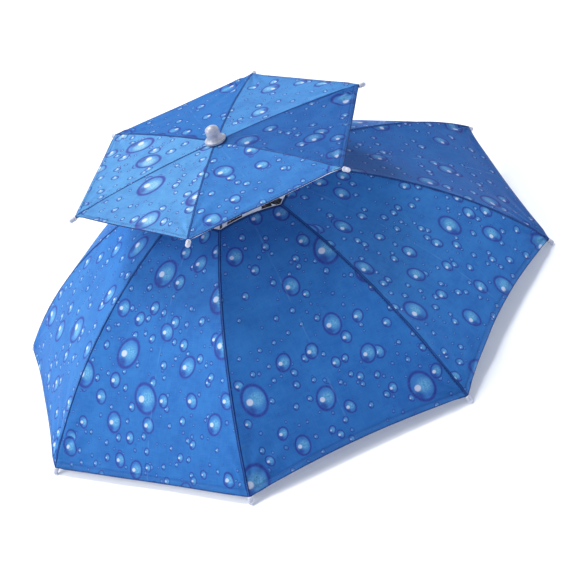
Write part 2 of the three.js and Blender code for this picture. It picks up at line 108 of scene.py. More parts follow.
RIB_WINDOW = math.radians(1.2)  # how near a heading a point of the cloth counts as on it
READ_STEPS = 200  # points down a panel's middle at which its edges are looked for

# Folds in the cloth
WAVES = 5
WAVE_PITCH = (0.055, 0.14)
FAN_FOLDS = 17
FAN_TWIST = 14  # radians by which a fan's folds turn in a metre
FAN_REACH = 0.038
FAN_CLEAR = 0.02  # nearer the tip than this its fan dies away
PUCKER_REACH = 0.009
PUCKER_DRIFT = (1.3, 0.083)  # radians by which the puckers come early or late, and its pitch
PUCKER_SHIFT = 2.2  # radians between the puckers of a panel's two seams
SEAM_HOLD = 0.005  # nearer a seam than this the folds die away

# Seams, hems and thread
WELT_WIDTH = 0.38  # share of the lap
WELT_HEIGHT = 0.14  # share of the lap
EDGE_BAND = 0.0008  # the outer face's share of a turned edge
EDGE_DEPTH = 0.0012
TURN_UP = 0.0036  # width of the turn-up on the inner face
SEWN_LINE = 0.0046  # from the hem's edge
CROWN_BAND_WIDTH = 0.0058  # of the darker band round the crown
HEM_REACH = 0.0006  # how far a turned edge stands out past the cloth
CROWN_REACH = 0.0005
THREAD_RADIUS = 0.00022
STITCH_LENGTH = 0.0026
STITCH_PITCH = 0.0036
STITCH_LIFT = 0.0001
STITCH_INSET = 0.72  # from the seam's line, as a share of the lap
TIE_SHARES = (0.34, 0.68)  # where along a rod the cloth is tacked to it
TIE_PITCH = 0.0007
TIE_THREAD = 0.00025
TIE_RISE = 0.00035  # of a tie's middle above the rod's axis
TIE_REACH = (ROD_RADIUS + 0.0003, ROD_RADIUS + 0.0006)  # a tie's half axes, across and up
WINDING_RADIUS = 0.00262  # of the thread round a tip's neck
WINDING_PITCH = 0.00035
WINDING_THREAD = 0.0002

# Collars and stretchers
WIRE_RADIUS = 0.0004
WIRE_SHARES = (0.12, 0.24)  # heights of a collar's wires, as shares of the collar
RIVET_HALF = 0.0034
RIVET_HEAD = [(0.0, 0.0), (0.0007, 0.0001), (0.0011, 0.0004), (0.0012, 0.0008)]
SADDLE_LENGTH = 0.008  # of a stretcher's outer end, where its saddle is
SADDLE_DROP = 0.0006  # how far the rivet sits under the saddle's middle
EDGE_ROUNDING = 0.00025
POST_EDGE = 0.0005

# Tip caps
TIP_NECK = 0.84  # share of the bead's radius
TIP_END = 0.96

# Ferrule
STEM_SHARE = 0.635  # of the foot's radius
LIP_SHARE = 0.15  # of the height
DOME_SHARE = 0.62  # of the stem's radius
FLUTES = 24
FLUTE_DEPTH = 0.0006
FERRULE_SIDES = 96

# Head frame and band
SOCKET_GAP = 0.0003  # under the post
SOCKET_WALL = 0.0068  # outer radius
SOCKET_BORE = 0.0043  # inner radius
DISC_RADIUS = 0.024
DISC_THICKNESS = 0.003
ARMS = 4
ARM_START = 0.6  # share of the disc's radius
ARM_FOOT = 0.0018  # the straight end of an arm, inside its loop
ARM_SECTION = (0.014, 0.0024, 0.0010)  # width, height and corner radius
LOOP_SECTION = (0.017, 0.0019, 0.0006)
LOOP_CORNER = 0.0011
LOOP_GAP = 0.0003
LOOP_WALL = 0.002
BAND_THICKNESS = 0.0024
BAND_CORNER = 0.42  # share of the thickness
BAND_FLAT = (0.002, 10)  # how far from its edges the band's face has points of its own, and how many
BAND_STEPS = 1200
BAND_RIB = 0.00012
BAND_RIB_PITCH = 0.0032
BAND_JOIN = 0.014  # half the length of the doubled stretch
BAND_JOIN_FADE = 0.0015
BAND_JOIN_SWELL = 0.0011
ELASTIC_RIB = 0.0016
ELASTIC_WARP = 0.0022

# Studio: a round floor that curves up into a low wall
SWEEP_RADIUS = 8.0
SWEEP_CURVE = 1.2
SWEEP_HEIGHT = 3.4

# Camera: the photograph's angle to the hat, with its lean
CAMERA_AZIMUTH = math.radians(18.37)
CAMERA_ELEVATION = math.radians(33.17)
CAMERA_ROLL = math.radians(-20.84)
CAMERA_PLACE = (0.4506, -1.3008, 0.9212)
SENSOR = 36.0  # millimetres
LENS = 81.05


def unit(vectors):
    """The same directions with length 1."""
    return vectors / np.linalg.norm(vectors, axis=-1, keepdims=True)


def upright(forward):
    """The level direction across `forward`, and the one up from it."""
    side = unit(np.cross(forward, (0, 0, 1)))
    return side, np.cross(side, forward)


def way_round(path):
    """The direction of a closed path at each of its points."""
    return unit(np.roll(path, -1, axis=0) - np.roll(path, 1, axis=0))


def node_points(name):
    """A frame node's points, each one once."""
    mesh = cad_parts[name].data
    places = np.empty(len(mesh.vertices) * 3, np.float32)
    mesh.vertices.foreach_get("co", places)
    return np.unique(places.reshape(-1, 3), axis=0).astype(float)


def smooth_through(known, values, at):
    """A curve through known points: between two neighbours a cubic, whose slope at each is that of
    the parabola through it and the points beside it."""
    slopes = np.gradient(values, known, edge_order=2)
    left = np.clip(np.searchsorted(known, at) - 1, 0, len(known) - 2)
    width = known[left + 1] - known[left]
    rise = values[left + 1] - values[left]
    t = (at - known[left]) / width
    bend = (width * slopes[left] - rise) * (1 - t) - (width * slopes[left + 1] - rise) * t
    return values[left] + t * rise + t * (1 - t) * bend


def smoothstep(low, high, x):
    """0 below low, 1 above high, and an S between."""
    t = np.clip((x - low) / (high - low), 0, 1)
    return t * t * (3 - 2 * t)


def way_along(line):
    """How far along a line each of its points lies."""
    return np.concatenate(([0], np.cumsum(np.linalg.norm(np.diff(line, axis=0), axis=1))))


class Rod:
    """A rod's course, read off its node: the corners of its rings, taken outwards, give one point of
    its centre line for each ring."""

    def __init__(self, tier, number):
        self.node = f"{tier}_rib_{number}"
        self.tip = f"{tier}_tip_{number}"
        corners = node_points(self.node)
        outwards = np.argsort(np.hypot(corners[:, 0], corners[:, 1]))
        self.line = corners[outwards].reshape(-1, ROD_CORNERS, 3).mean(axis=1)
        self.distance = np.hypot(self.line[:, 0], self.line[:, 1])
        self.heading = np.unwrap(np.arctan2(self.line[:, 1], self.line[:, 0]))
        self.direction = unit(self.line[-1] - self.line[-2])
        self.side, self.up = upright(self.direction)
        neck = ((node_points(self.tip) - self.line[-1]) @ self.direction).min()
        self.corner = self.line[-1] + neck * self.direction  # where the cloth ends and the tip starts
        self.end = math.hypot(*self.corner[:2])

    def at(self, distance, above=0.0):
        """Points on the rod at these distances from the post, `above` its axis in its upright plane."""
        heading = smooth_through(self.distance, self.heading, distance)
        height = smooth_through(self.distance, self.line[:, 2], distance)
        rise = smooth_through(self.distance, self.line[:, 2], distance + SLOPE_STEP) - height
        slope = np.arctan(rise / SLOPE_STEP)
        out = distance - above * np.sin(slope)
        return np.stack(
            (out * np.cos(heading), out * np.sin(heading), height + above * np.cos(slope)), axis=-1
        )

    def down(self, start, share, above=0.0):
        """Points at shares of the way from the distance `start` to the rod's corner."""
        return self.at(start + share * (self.end - start), above)


class Tier:
    """A tier's rods and where its cloth starts and ends, read off the nodes."""

    def __init__(self, name):
        self.name = name
        self.cloth = CLOTHS[name]
        self.panels = self.cloth["panels"]
        self.lap = self.cloth["lap"]
        self.rods = [Rod(name, number + 1) for number in range(self.panels)]
        shell = node_points(name + "_canopy")
        distance = np.hypot(shell[:, 0], shell[:, 1])
        headings = shell[:, :2] / distance[:, None]

        def near(direction):
            return distance[headings @ unit(direction) > math.cos(RIB_WINDOW)]

        self.start = min(near(rod.line[0, :2]).min() for rod in self.rods) - CROWN_TURN_IN
        self.crown_share = []
        self.hem_share = []
        share = np.linspace(0, 1, READ_STEPS)
        for trim, (left, right) in zip(self.cloth["trims"], self.pairs()):
            middle = (left.down(self.start, share) + right.down(self.start, share))[:, :2] / 2
            distance_down = np.hypot(middle[:, 0], middle[:, 1])
            at_crown = np.interp(near(middle[0]).min(), distance_down, share)
            at_hem = np.interp(near(middle[-1]).max(), distance_down, share)
            self.crown_share.append(at_crown * CROWN_EASE if at_crown > LEAST_CUT else 0.0)
            self.hem_share.append((1 - at_hem) * self.cloth["hem_ease"] + trim)

    def pairs(self):
        """The two rods of each panel."""
        return [(rod, self.rods[(k + 1) % self.panels]) for k, rod in enumerate(self.rods)]


def turned_grid(shape, around, closed):
    """Corner numbers of the quads of a grid of shape (rings, points), closed around its rings where
    `around`, and from its last ring to its first where `closed`."""
    rings, points = shape
    number = np.arange(rings * points).reshape(shape)
    first = number if closed else number[:-1]
    second = np.roll(number, -1, axis=0) if closed else number[1:]
    quads = np.stack(
        (first, second, np.roll(second, -1, axis=1), np.roll(first, -1, axis=1)), axis=-1
    )
    return (quads if around else quads[:, :-1]).reshape(-1, 4)


def in_scene(name, data):
    """An object of this data, linked to the scene."""
    thing = bpy.data.objects.new(name, data)
    bpy.context.scene.collection.objects.link(thing)
    return thing


def mesh_of(name, points, quads):
    """A smooth mesh from points and quads."""
    mesh = bpy.data.meshes.new(name)
    mesh.from_pydata(points.reshape(-1, 3).tolist(), [], quads.reshape(-1, 4).tolist())
    mesh.shade_smooth()
    return mesh


def turned_out(mesh):
    """Merges a mesh's doubles, so that poles and ends close, and turns its faces outwards."""
    shape = bmesh.new()
    shape.from_mesh(mesh)
    bmesh.ops.remove_doubles(shape, verts=shape.verts, dist=1e-6)
    bmesh.ops.recalc_face_normals(shape, faces=shape.faces)
    shape.to_mesh(mesh)
    shape.free()


def piece(name, points, quads, material, smooth=60):
    """A mesh object from points and quads. Edges sharper than `smooth` degrees stay sharp."""
    mesh = mesh_of(name, points, quads)
    turned_out(mesh)
    mesh.set_sharp_from_angle(angle=math.radians(smooth))
    mesh.materials.append(material)
    return in_scene(name, mesh)


def skin(name, rings, material, smooth=60, closed=False):
    """A mesh object over (rings, points, 3), also from its last ring to its first where `closed`."""
    return piece(name, rings, turned_grid(rings.shape[:2], True, closed), material, smooth)


def copies(name, shapes, finish, slot, closed=False):
    """One piece of many alike shapes: an array of (copies, rings, points, 3)."""
    shapes = np.stack(shapes)
    quads = turned_grid(shapes.shape[1:3], True, closed)
    per_copy = shapes.shape[1] * shapes.shape[2]
    offsets = np.arange(shapes.shape[0]) * per_copy
    return fitted(piece(name, shapes, quads + offsets[:, None, None], finishes[finish]), slot)


def fitted(thing, slot, *nodes):
    """Lets a piece ride on the hat's one body and hides the nodes that it stands for. Its slot is not
    used.
    """
    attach(thing, "root")
    if nodes:
        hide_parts(*nodes)
    return thing


def revolved(profile, sides):
    """A profile of (radius, height) turned about +Z, as (rings, points, 3)."""
    profile = np.asarray(profile, float)
    angle = np.arange(sides) / sides * TURN
    radius = profile[:, :1]
    rim = np.ones_like(angle)[None] * profile[:, 1:]
    return np.stack((radius * np.cos(angle), radius * np.sin(angle), rim), axis=-1)


def arc(centre, radius, start, stop, steps):
    """Points of an arc from `start` to `stop` degrees, as (across, up)."""
    angle = np.radians(np.linspace(start, stop, steps))
    return np.stack((centre[0] + radius * np.cos(angle), centre[1] + radius * np.sin(angle)), axis=-1)


def swept(path, side, up, profile):
    """A profile of (side, up) carried along a path: each ring is path + side * x + up * y. Side and up
    are given once, or at each point of the path."""
    profile = np.asarray(profile, float)
    across = np.broadcast_to(side, path.shape)[:, None] * profile[:, :1]
    return path[:, None] + across + np.broadcast_to(up, path.shape)[:, None] * profile[:, 1:]


def ended(rings):
    """Rings with a point in the middle of each end, so that the ends close."""
    first = np.broadcast_to(rings[:1].mean(axis=1, keepdims=True), rings[:1].shape)
    last = np.broadcast_to(rings[-1:].mean(axis=1, keepdims=True), rings[-1:].shape)
    return np.concatenate((first, rings, last))


def circle(radius, sides=ROUND):
    """A round profile."""
    angle = np.arange(sides) / sides * TURN
    return np.stack((radius * np.cos(angle), radius * np.sin(angle)), axis=-1)


def rounded_box(width, height, radius, steps=4):
    """A rectangle's profile with round corners."""
    x = width / 2 - radius
    y = height / 2 - radius
    corners = [((x, y), 0), ((-x, y), 90), ((-x, -y), 180), ((x, -y), 270)]
    return np.concatenate([arc(place, radius, turn, turn + 90, steps) for place, turn in corners])


def wire_ring(centre, side, up, wide, tall, thickness, corners, sides):
    """A ring of thread or wire: a round section carried round an oval, whose half axes are `wide` along
    side and `tall` along up."""
    angle = np.arange(corners)[:, None] / corners * TURN
    course = centre + side * np.cos(angle) * wide + up * np.sin(angle) * tall
    return swept(course, np.cross(up, side), unit(course - centre), circle(thickness, sides))


def stitch_row(path, up, closed=False):
    """Stitches at an even pitch along a path: each a spindle of five rings that lies along the path,
    half sunk in the surface that `up` stands on."""
    path = path + up * STITCH_LIFT
    if closed:
        path = np.concatenate((path, path[:1]))
        up = np.concatenate((up, up[:1]))
    gone = way_along(path)
    count = max(2, int(round(gone[-1] / STITCH_PITCH)))
    at = (np.arange(count) + 0.5) / count * gone[-1]

    def between(values):
        return np.stack([np.interp(at, gone, values[:, axis]) for axis in range(3)], axis=-1)

    places = between(path)
    normal = unit(between(up))
    forward = unit(np.gradient(places, axis=0))
    side = unit(np.cross(normal, forward))
    share = np.array([-0.5, -0.36, 0.0, 0.36, 0.5]) * STITCH_LENGTH
    girth = np.array([0.0, 0.8, 1.0, 0.8, 0.0]) * THREAD_RADIUS
    ring = circle(1.0, 5)
    return (
        places[:, None, None]
        + forward[:, None, None] * share[None, :, None, None]
        + side[:, None, None] * (girth[:, None] * ring[:, 0])[None, :, :, None]
        + normal[:, None, None] * (girth[:, None] * ring[:, 1])[None, :, :, None]
    )


def operator(operation, turned=False):
    """A sign of arithmetic on a shader value: a Math node, with the other value first if `turned`."""

    def act(value, other):
        return value.finish.math(operation, *((other, value) if turned else (value, other)))

    return act


class Value:
    """A shader value. Arithmetic on it adds Math nodes, with numbers or other values."""

    __add__ = __radd__ = operator("ADD")
    __sub__ = operator("SUBTRACT")
    __rsub__ = operator("SUBTRACT", turned=True)
    __mul__ = __rmul__ = operator("MULTIPLY")
    __truediv__ = operator("DIVIDE")
    __lt__ = operator("LESS_THAN")
    __gt__ = operator("GREATER_THAN")

    def __init__(self, finish, socket):
        self.finish = finish
        self.socket = socket

    def out(self, name):
        """Another output of the same node."""
        return Value(self.finish, self.socket.node.outputs[name])


class Finish:
    """A material written as expressions on one Principled shader."""

    def __init__(self, name, **uniform):
        self.material = bpy.data.materials.new(name)
        self.material.use_nodes = True
        self.nodes = self.material.node_tree.nodes
        self.links = self.material.node_tree.links
        self.nodes.clear()
        self.shader = self.nodes.new("ShaderNodeBsdfPrincipled")
        output = self.nodes.new("ShaderNodeOutputMaterial")
        self.links.new(self.shader.outputs[0], output.inputs[0])
        for key, value in uniform.items():
            socket = key.replace("_", " ").title().replace("Ior", "IOR")
            self.shader.inputs[socket].default_value = value

    def node(self, kind, settings=None, inputs=None, output=0):
        """Any node: its type, its settings, and the values or links of its sockets."""
        made = self.nodes.new(kind)
        for key, value in (settings or {}).items():
            setattr(made, key, value)
        for key, value in (inputs or {}).items():
            self.join(made.inputs[key], value)
        return Value(self, made.outputs[output])

    def join(self, socket, value):
        """Links a value to a socket, or sets the socket to a number, vector or colour."""
        if isinstance(value, Value):
            self.links.new(value.socket, socket)
        elif isinstance(value, tuple) and socket.type == "RGBA":
            socket.default_value = (*value, 1)
        else:
            socket.default_value = value

    def math(self, operation, *values):
        return self.node("ShaderNodeMath", {"operation": operation}, dict(enumerate(values)))

    def vector(self, operation, *values, output=0):
        settings = {"operation": operation}
        return self.node("ShaderNodeVectorMath", settings, dict(enumerate(values)), output)

    def step(self, low, high, value):
        """An S from 0 at low to 1 at high. High may be less than low."""
        settings = {"interpolation_type": "SMOOTHSTEP"}
        inputs = {"Value": value, "From Min": low, "From Max": high}
        return self.node("ShaderNodeMapRange", settings, inputs)

    def mix(self, share, first, second):
        """A colour between two."""
        mixed = self.node("ShaderNodeMix", {"data_type": "RGBA"}, {0: share, 6: first, 7: second})
        return Value(self, mixed.socket.node.outputs[2])

    def mix_vectors(self, share, first, second):
        """One of two vectors, or a blend."""
        mixed = self.node("ShaderNodeMix", {"data_type": "VECTOR"}, {0: share, 4: first, 5: second})
        return Value(self, mixed.socket.node.outputs[1])

    def turned(self, vector, angle):
        """A vector turned about Z."""
        inputs = {"Vector": vector, "Angle": angle}
        return self.node("ShaderNodeVectorRotate", {"rotation_type": "Z_AXIS"}, inputs)

    def noise(self, place, scale=1.0, detail=2.0, roughness=0.5):
        """Soft noise around 0.5."""
        inputs = {"Vector": place, "Scale": scale, "Detail": detail, "Roughness": roughness}
        return self.node("ShaderNodeTexNoise", None, inputs)

    def split(self, vector):
        """A vector's X, with Y and Z as its other outputs."""
        return self.node("ShaderNodeSeparateXYZ", None, {0: vector})

    def object_place(self):
        """The place on the piece, in metres."""
        return self.node("ShaderNodeTexCoord", None, None, "Object")

    def uv(self, name):
        return self.node("ShaderNodeUVMap", {"uv_map": name})

    def attribute(self, name):
        return self.node("ShaderNodeAttribute", {"attribute_name": name}, None, "Fac")

    def stretched(self, place, scale, turn=0.0, shift=(0.0, 0.0, 0.0)):
        """A place with each axis scaled, after a turn about Z."""
        inputs = {"Vector": place, "Rotation": (0, 0, turn), "Scale": scale, "Location": shift}
        return self.node("ShaderNodeMapping", None, inputs)

    def wear(self, colour, roughness=None, bump=None, depth=0.0):
        """Feeds the shader: colour, roughness, and a bump whose height is `depth` metres at 1."""
        self.join(self.shader.inputs["Base Color"], colour)
        if roughness is not None:
            self.join(self.shader.inputs["Roughness"], roughness)
            relief = self.node("ShaderNodeBump", None, {"Height": bump, "Distance": depth})
            self.join(self.shader.inputs["Normal"], relief)
        return self.material


# Drops of the print, from the smallest to the largest. Cells in metres, radii as shares of a cell.
DROP_COLUMNS = ("cell", "held", "least", "most", "turn", "glint", "rim", "ink", "seed")
DROP_LAYERS = [
    (0.0078, 0.20, 0.10, 0.17, 0.4, 0.04, 0.36, 0.70, 1),
    (0.0122, 0.36, 0.13, 0.23, 1.1, 0.14, 0.50, 0.95, 2),
    (0.0188, 0.46, 0.15, 0.27, 0.2, 0.20, 0.62, 1.00, 3),
    (0.0315, 0.68, 0.15, 0.29, 0.8, 0.25, 0.70, 1.00, 4),
    (0.0610, 0.78, 0.16, 0.30, 0.5, 0.22, 0.74, 1.00, 5),
]
DROP_LENGTH = 1.13  # a drop's half length over its mean radius
DROP_LEAN = 0.9  # the most by which two drops lean apart, in radians
DROP_WOBBLE = 0.14
DROP_EDGE = 1.10  # how far from its middle a drop hides smaller ones, 1 at its outline
NO_DROP = 10  # added to the distance in a cell without one
CELL_SHIFT = (7.3, 3.9)  # cells by which each size of drops is moved, times its seed
DRAW_HEIGHT = 1.7  # where in the noise each size of drops is drawn, times its seed
SECOND_DRAW = 0.6  # how far above a cell's first draw its second is

# Colours of the print, linear red, green and blue
GROUND = {"deep": (0.019, 0.124, 0.412), "plain": (0.026, 0.160, 0.470), "pale": (0.034, 0.192, 0.485)}
DROP = {
    "body": (0.030, 0.150, 0.460),
    "cloud": (0.045, 0.200, 0.520),
    "heart": (0.060, 0.245, 0.480),
    "fleck": (0.150, 0.430, 0.700),
    "shade": (0.020, 0.044, 0.260),
    "glint": (0.60, 0.66, 0.78),
    "rim": (0.026, 0.047, 0.275),
    "halo": (0.028, 0.075, 0.340),
}
SEAM_MARKS_AND_PAINTED_LIGHT = [  # share and colour
    (0.86, (0.005, 0.026, 0.140)),  # painted shade over a seam's lap
    (0.92, (0.005, 0.022, 0.120)),  # painted shade in the groove beside it
    (0.07, (0.130, 0.330, 0.650)),  # the hem's turn-up
    (0.22, (0.010, 0.040, 0.190)),  # its line of stitches
    (0.80, (0.006, 0.022, 0.110)),  # a darker band round the crown's edge
    (0.16, (0.150, 0.380, 0.720)),  # a painted highlight along the fold pressed down the middle
]
CLOTH_SHEEN = (0.10, 0.29, 0.60)
PAINTED_SHADE_SCALE = (0.46, 0.37, 0.50)  # painted shade: times the colour where the painted shading is 1
PAINTED_LIGHT_SCALE = (4.3, 2.18, 1.39)  # painted light: times the colour where the painted shading is -1
# the most that the painted light may raise the colour to
PAINTED_LIGHT_LIMIT = (0.72, 0.76, 0.84)


def drop_layer(finish, place, cell, held, least, most, turn, seed):
    """One size of drops: the cloth is cut into square cells, and a cell that holds a drop keeps it
    clear of the cell's edges. Returns how far a point is from its drop's middle, 1 at the outline,
    and where it is in the drop."""
    shift = (seed * CELL_SHIFT[0], seed * CELL_SHIFT[1], 0)
    cells = finish.stretched(place, (1 / cell, 1 / cell, 1), turn, shift)
    corner = finish.vector("FLOOR", cells)
    inside = finish.vector("FRACTION", cells)

    def drawn(height):
        moved = finish.vector("ADD", corner, (0, 0, height))
        noise = finish.node("ShaderNodeTexWhiteNoise", None, {"Vector": moved}, "Color")
        return finish.split(noise)

    spot = drawn(seed * DRAW_HEIGHT)
    form = drawn(seed * DRAW_HEIGHT + SECOND_DRAW)
    radius = form * form * (most - least) + least
    margin = most * DROP_LENGTH
    x, y = (axis * (1 - 2 * margin) + margin for axis in (spot, spot.out("Y")))
    middle = finish.node("ShaderNodeCombineXYZ", None, {0: x, 1: y})
    away = finish.turned(finish.vector("SUBTRACT", inside, middle), -turn)
    size = finish.node("ShaderNodeCombineXYZ", None, {0: radius, 1: radius, 2: 1.0})
    within = finish.vector("DIVIDE", away, size)
    leaned = finish.turned(within, (form.out("Y") - 0.5) * DROP_LEAN)
    rounded = finish.vector("MULTIPLY", leaned, (DROP_LENGTH, 1 / DROP_LENGTH, 0))
    distance = finish.vector("LENGTH", rounded, output="Value")
    wobble = (finish.noise(place, 0.5 / cell, 1.0) - 0.5) * DROP_WOBBLE
    absent = (spot.out("Z") > held) * NO_DROP
    return distance + wobble + absent, within


def nearest_drop(finish, place):
    """The drop over each point, where a larger one hides a smaller one: where the point lies in it,
    how far that is from its middle, and the drop's glint, rim and ink."""
    found = None
    for row in DROP_LAYERS:
        layer = dict(zip(DROP_COLUMNS, row))
        marks = [layer.pop(key) for key in ("glint", "rim", "ink")]
        distance, within = drop_layer(finish, place, **layer)
        if found is None:
            inside = within
            found = [distance] + [distance * 0 + mark for mark in marks]
            continue
        taken = distance < DROP_EDGE
        inside = finish.mix_vectors(taken, inside, within)
        found = [taken * new + (1 - taken) * old for new, old in zip([distance] + marks, found)]
    return inside, *found


def printed_cloth():
    """Satin cloth with a print of water drops. The drops read the print's own UV map, so they are cut
    at the seams. The weave, the seams with their painted shade, the hem, the crown's band and the fold
    with its painted highlight read the panel's UV map and the distances to the seams, which are in laps,
    and to the hem and the crown."""
    finish = Finish("printed_cloth", specular_ior_level=0.08)
    mix, step, noise, vector = finish.mix, finish.step, finish.noise, finish.vector
    place = finish.uv("print")
    panel = finish.uv("panel")
    inside, distance, glint, rim, ink = nearest_drop(finish, place)

    # The blue ground
    patches = noise(place, 34, 3.0, 0.6)
    blotches = noise(place, 150, 3.0, 0.6)
    mottled = noise(place, 480, 3.0, 0.7)
    slubs = noise(finish.stretched(panel, (1500, 60, 1)))
    threads = noise(finish.stretched(panel, (60, 1500, 1), 0.0, (5, 9, 0)))
    ground = mix(step(0.3, 0.7, patches), GROUND["deep"], GROUND["plain"])
    ground = mix(step(0.35, 0.75, blotches) * 0.30, ground, GROUND["pale"])

    # A drop: its body, a lit heart, a shaded side, a glint and a rim
    body = mix(step(0.30, 0.62, blotches), DROP["body"], DROP["cloud"])
    core = mix(step(0.34, 0.66, mottled), DROP["heart"], DROP["fleck"])
    heart = vector("DISTANCE", inside, (0.12, -0.04, 0), output="Value")
    full = step(0.44, 0.72, rim)
    lit = step(0.74, 0.22, heart + (mottled - 0.5) * 0.35) * (full * 0.72 + 0.28)
    body = mix(lit, body, core)
    shade = vector("DISTANCE", inside, (-0.48, 0.62, 0), output="Value")
    body = mix(step(0.55, 0.15, shade) * 0.75, body, DROP["shade"])
    spark = vector("DISTANCE", inside, (-0.34, 0.02, 0), output="Value")
    gleam = step(1.25, 0.75, spark / glint + (mottled - 0.5) * 0.3) * (full * 0.48 + 0.40)
    body = mix(gleam, body, DROP["glint"])
    ring = step(rim, rim * 0.45 + 0.55, distance)
    drop = mix(ring * 0.95, body, DROP["rim"])
    colour = mix(step(1.14, 1.0, distance) * ink * 0.4, ground, DROP["halo"])
    colour = mix(step(1.05, 0.95, distance) * ink, colour, drop)
    weave = step(0.42, 0.75, slubs * 0.5 + threads * 0.5)
    # The weave's threads drawn paler: painted sheen
    colour = mix(weave * 0.22, colour, CLOTH_SHEEN)

    # The panel's painted light and shade, which a drop keeps out of itself in part
    painted_shading = finish.attribute("painted_shading")
    painted_shade = vector("MULTIPLY", colour, PAINTED_SHADE_SCALE)
    painted_light = vector("MULTIPLY", colour, PAINTED_LIGHT_SCALE)
    painted_light = vector("MINIMUM", painted_light, PAINTED_LIGHT_LIMIT)
    colour = mix(finish.math("MAXIMUM", painted_shading, 0.0), colour, painted_shade)
    kept = step(1.08, 0.98, distance) * ink * (ring * 0.24 + 0.42)
    colour = mix(finish.math("MAXIMUM", painted_shading * -1.0, 0.0) * (1 - kept), colour, painted_light)

    # Seams with painted shade over the lap and groove, turned hem, a darker band round the crown, and the
    # fold pressed down the panel's middle with a painted highlight
    past = finish.split(finish.uv("seams"))
    before = past.out("Y")
    hem = finish.attribute("hem")
    crown = finish.attribute("crown")
    # Painted shade over a seam's lap and in the groove beside it
    lap = step(1.0, 0.55, before) * step(0.07, 0.19, before)
    groove = step(0.07, 0.17, past) * step(0.55, 0.33, past)
    turned_up = step(TURN_UP + 0.0006, TURN_UP, hem)
    sewn = step(0.0014, 0.0004, finish.math("ABSOLUTE", hem - SEWN_LINE))
    crown_band = step(CROWN_BAND_WIDTH, TURN_UP, crown)
    middle = finish.math("ABSOLUTE", finish.split(panel))
    fold_strength = step(0.40, 0.62, noise(panel, 42))
    # The fold down each panel's middle: a real bump, drawn paler as a painted highlight
    pressed = step(0.0016, 0.0002, middle) * fold_strength
    marks = (lap, groove, turned_up, sewn, crown_band, pressed)
    for mark, (share, mark_colour) in zip(marks, SEAM_MARKS_AND_PAINTED_LIGHT):
        colour = mix(mark * share, colour, mark_colour)

    # Relief
    beside = finish.math("MINIMUM", past, before)
    puckers = noise(finish.stretched(panel, (90, 330, 1)), 1.0, 1.0)
    close = step(3.8, 0.24, beside) + step(0.014, 0.002, hem)
    crumple = noise(panel, 60, 4.0, 0.65)
    rise = step(1.05, 0.9, before)
    height = (slubs + threads) * 0.06 + puckers * close * 0.8 + crumple * 0.55
    height = height + rise * 0.35 - groove * 0.5 - sewn * 0.25 + pressed * 0.3
    roughness = 0.52 + patches * 0.06 + slubs * 0.08
    return finish.wear(colour, roughness, height, 0.0011)


def coated_lining():
    """The silver-grey coating on the cloth's inner face, with the weave showing through it and a few
    rubbed places."""
    finish = Finish("coated_lining")
    panel = finish.uv("panel")
    slubs = finish.noise(finish.stretched(panel, (1300, 70, 1)))
    threads = finish.noise(finish.stretched(panel, (70, 1300, 1)))
    clouds = finish.noise(panel, 18, 3.0)
    colour = finish.mix(finish.step(0.35, 0.7, clouds), (0.78, 0.80, 0.86), (0.86, 0.88, 0.93))
    colour = finish.mix((slubs + threads - 0.8) * 0.25, colour, (0.50, 0.53, 0.65))
    crumple = finish.noise(panel, 55, 4.0, 0.6)
    roughness = 0.34 + clouds * 0.16 + slubs * 0.06
    return finish.wear(colour, roughness, (slubs + threads) * 0.08 + crumple * 0.5, 0.0009)


def edge_tape(name, dark, light):
    """Narrow woven tape: cross ribs, and a little fading."""
    finish = Finish(name, specular_ior_level=0.2)
    place = finish.object_place()
    fibres = finish.noise(place, 900)
    fading = finish.noise(place, 45)
    colour = finish.mix(finish.step(0.3, 0.7, fibres * 0.5 + fading * 0.5), dark, light)
    return finish.wear(colour, 0.52 + fibres * 0.2, fibres, 0.0002)


def sewing_thread():
    """Twisted polyester thread, lighter and darker along its strands."""
    finish = Finish("sewing_thread")
    strands = finish.noise(finish.object_place(), 1400)
    colour = finish.mix(finish.step(0.3, 0.7, strands), (0.010, 0.030, 0.160), (0.030, 0.085, 0.330))
    return finish.wear(colour, 0.42 + strands * 0.2, strands, 0.0001)


def coated_steel():
    """Black-lacquered spring steel, with a fine draw along it and bare wear."""
    finish = Finish("coated_steel", metallic=0.55, coat_weight=0.3)
    place = finish.object_place()
    draw = finish.noise(place, 700, 3.0)
    rubbed = finish.step(0.66, 0.80, finish.noise(place, 120, 4.0, 0.6))
    colour = finish.mix(rubbed * 0.5, (0.012, 0.013, 0.015), (0.16, 0.165, 0.175))
    return finish.wear(colour, 0.28 + draw * 0.2 + rubbed * 0.1, draw, 0.00008)


def plain_steel():
    """Bright rivet steel."""
    finish = Finish("plain_steel", metallic=1.0)
    stains = finish.noise(finish.object_place(), 500, 3.0)
    colour = finish.mix(stains, (0.42, 0.43, 0.45), (0.72, 0.73, 0.75))
    return finish.wear(colour, 0.2 + stains * 0.25, stains, 0.00006)


def black_moulding():
    """Black moulded plastic with a spark-eroded grain and dusty scuffs."""
    finish = Finish("black_moulding")
    place = finish.object_place()
    grain = finish.noise(place, 1500)
    scuffs = finish.step(0.60, 0.82, finish.noise(finish.stretched(place, (90, 30, 60)), 1.0, 5.0, 0.7))
    colour = finish.mix(scuffs * 0.35, (0.012, 0.012, 0.014), (0.075, 0.077, 0.085))
    return finish.wear(colour, 0.40 + grain * 0.16 + scuffs * 0.15, grain, 0.00012)


def pale_plastic(name, deep, light, clear):
    """Milky plastic that lets some light in, clouded inside, with flow marks from its moulding."""
    finish = Finish(name, subsurface_weight=clear, subsurface_scale=0.004, coat_weight=0.25)
    finish.shader.inputs["Subsurface Radius"].default_value = (1.0, 1.0, 1.1)
    place = finish.object_place()
    clouds = finish.noise(place, 130, 3.0)
    flow = finish.noise(finish.stretched(place, (500, 500, 90)), 1.0, 3.0)
    colour = finish.mix(finish.step(0.3, 0.7, clouds), deep, light)
    return finish.wear(colour, 0.22 + flow * 0.18, flow, 0.00016)


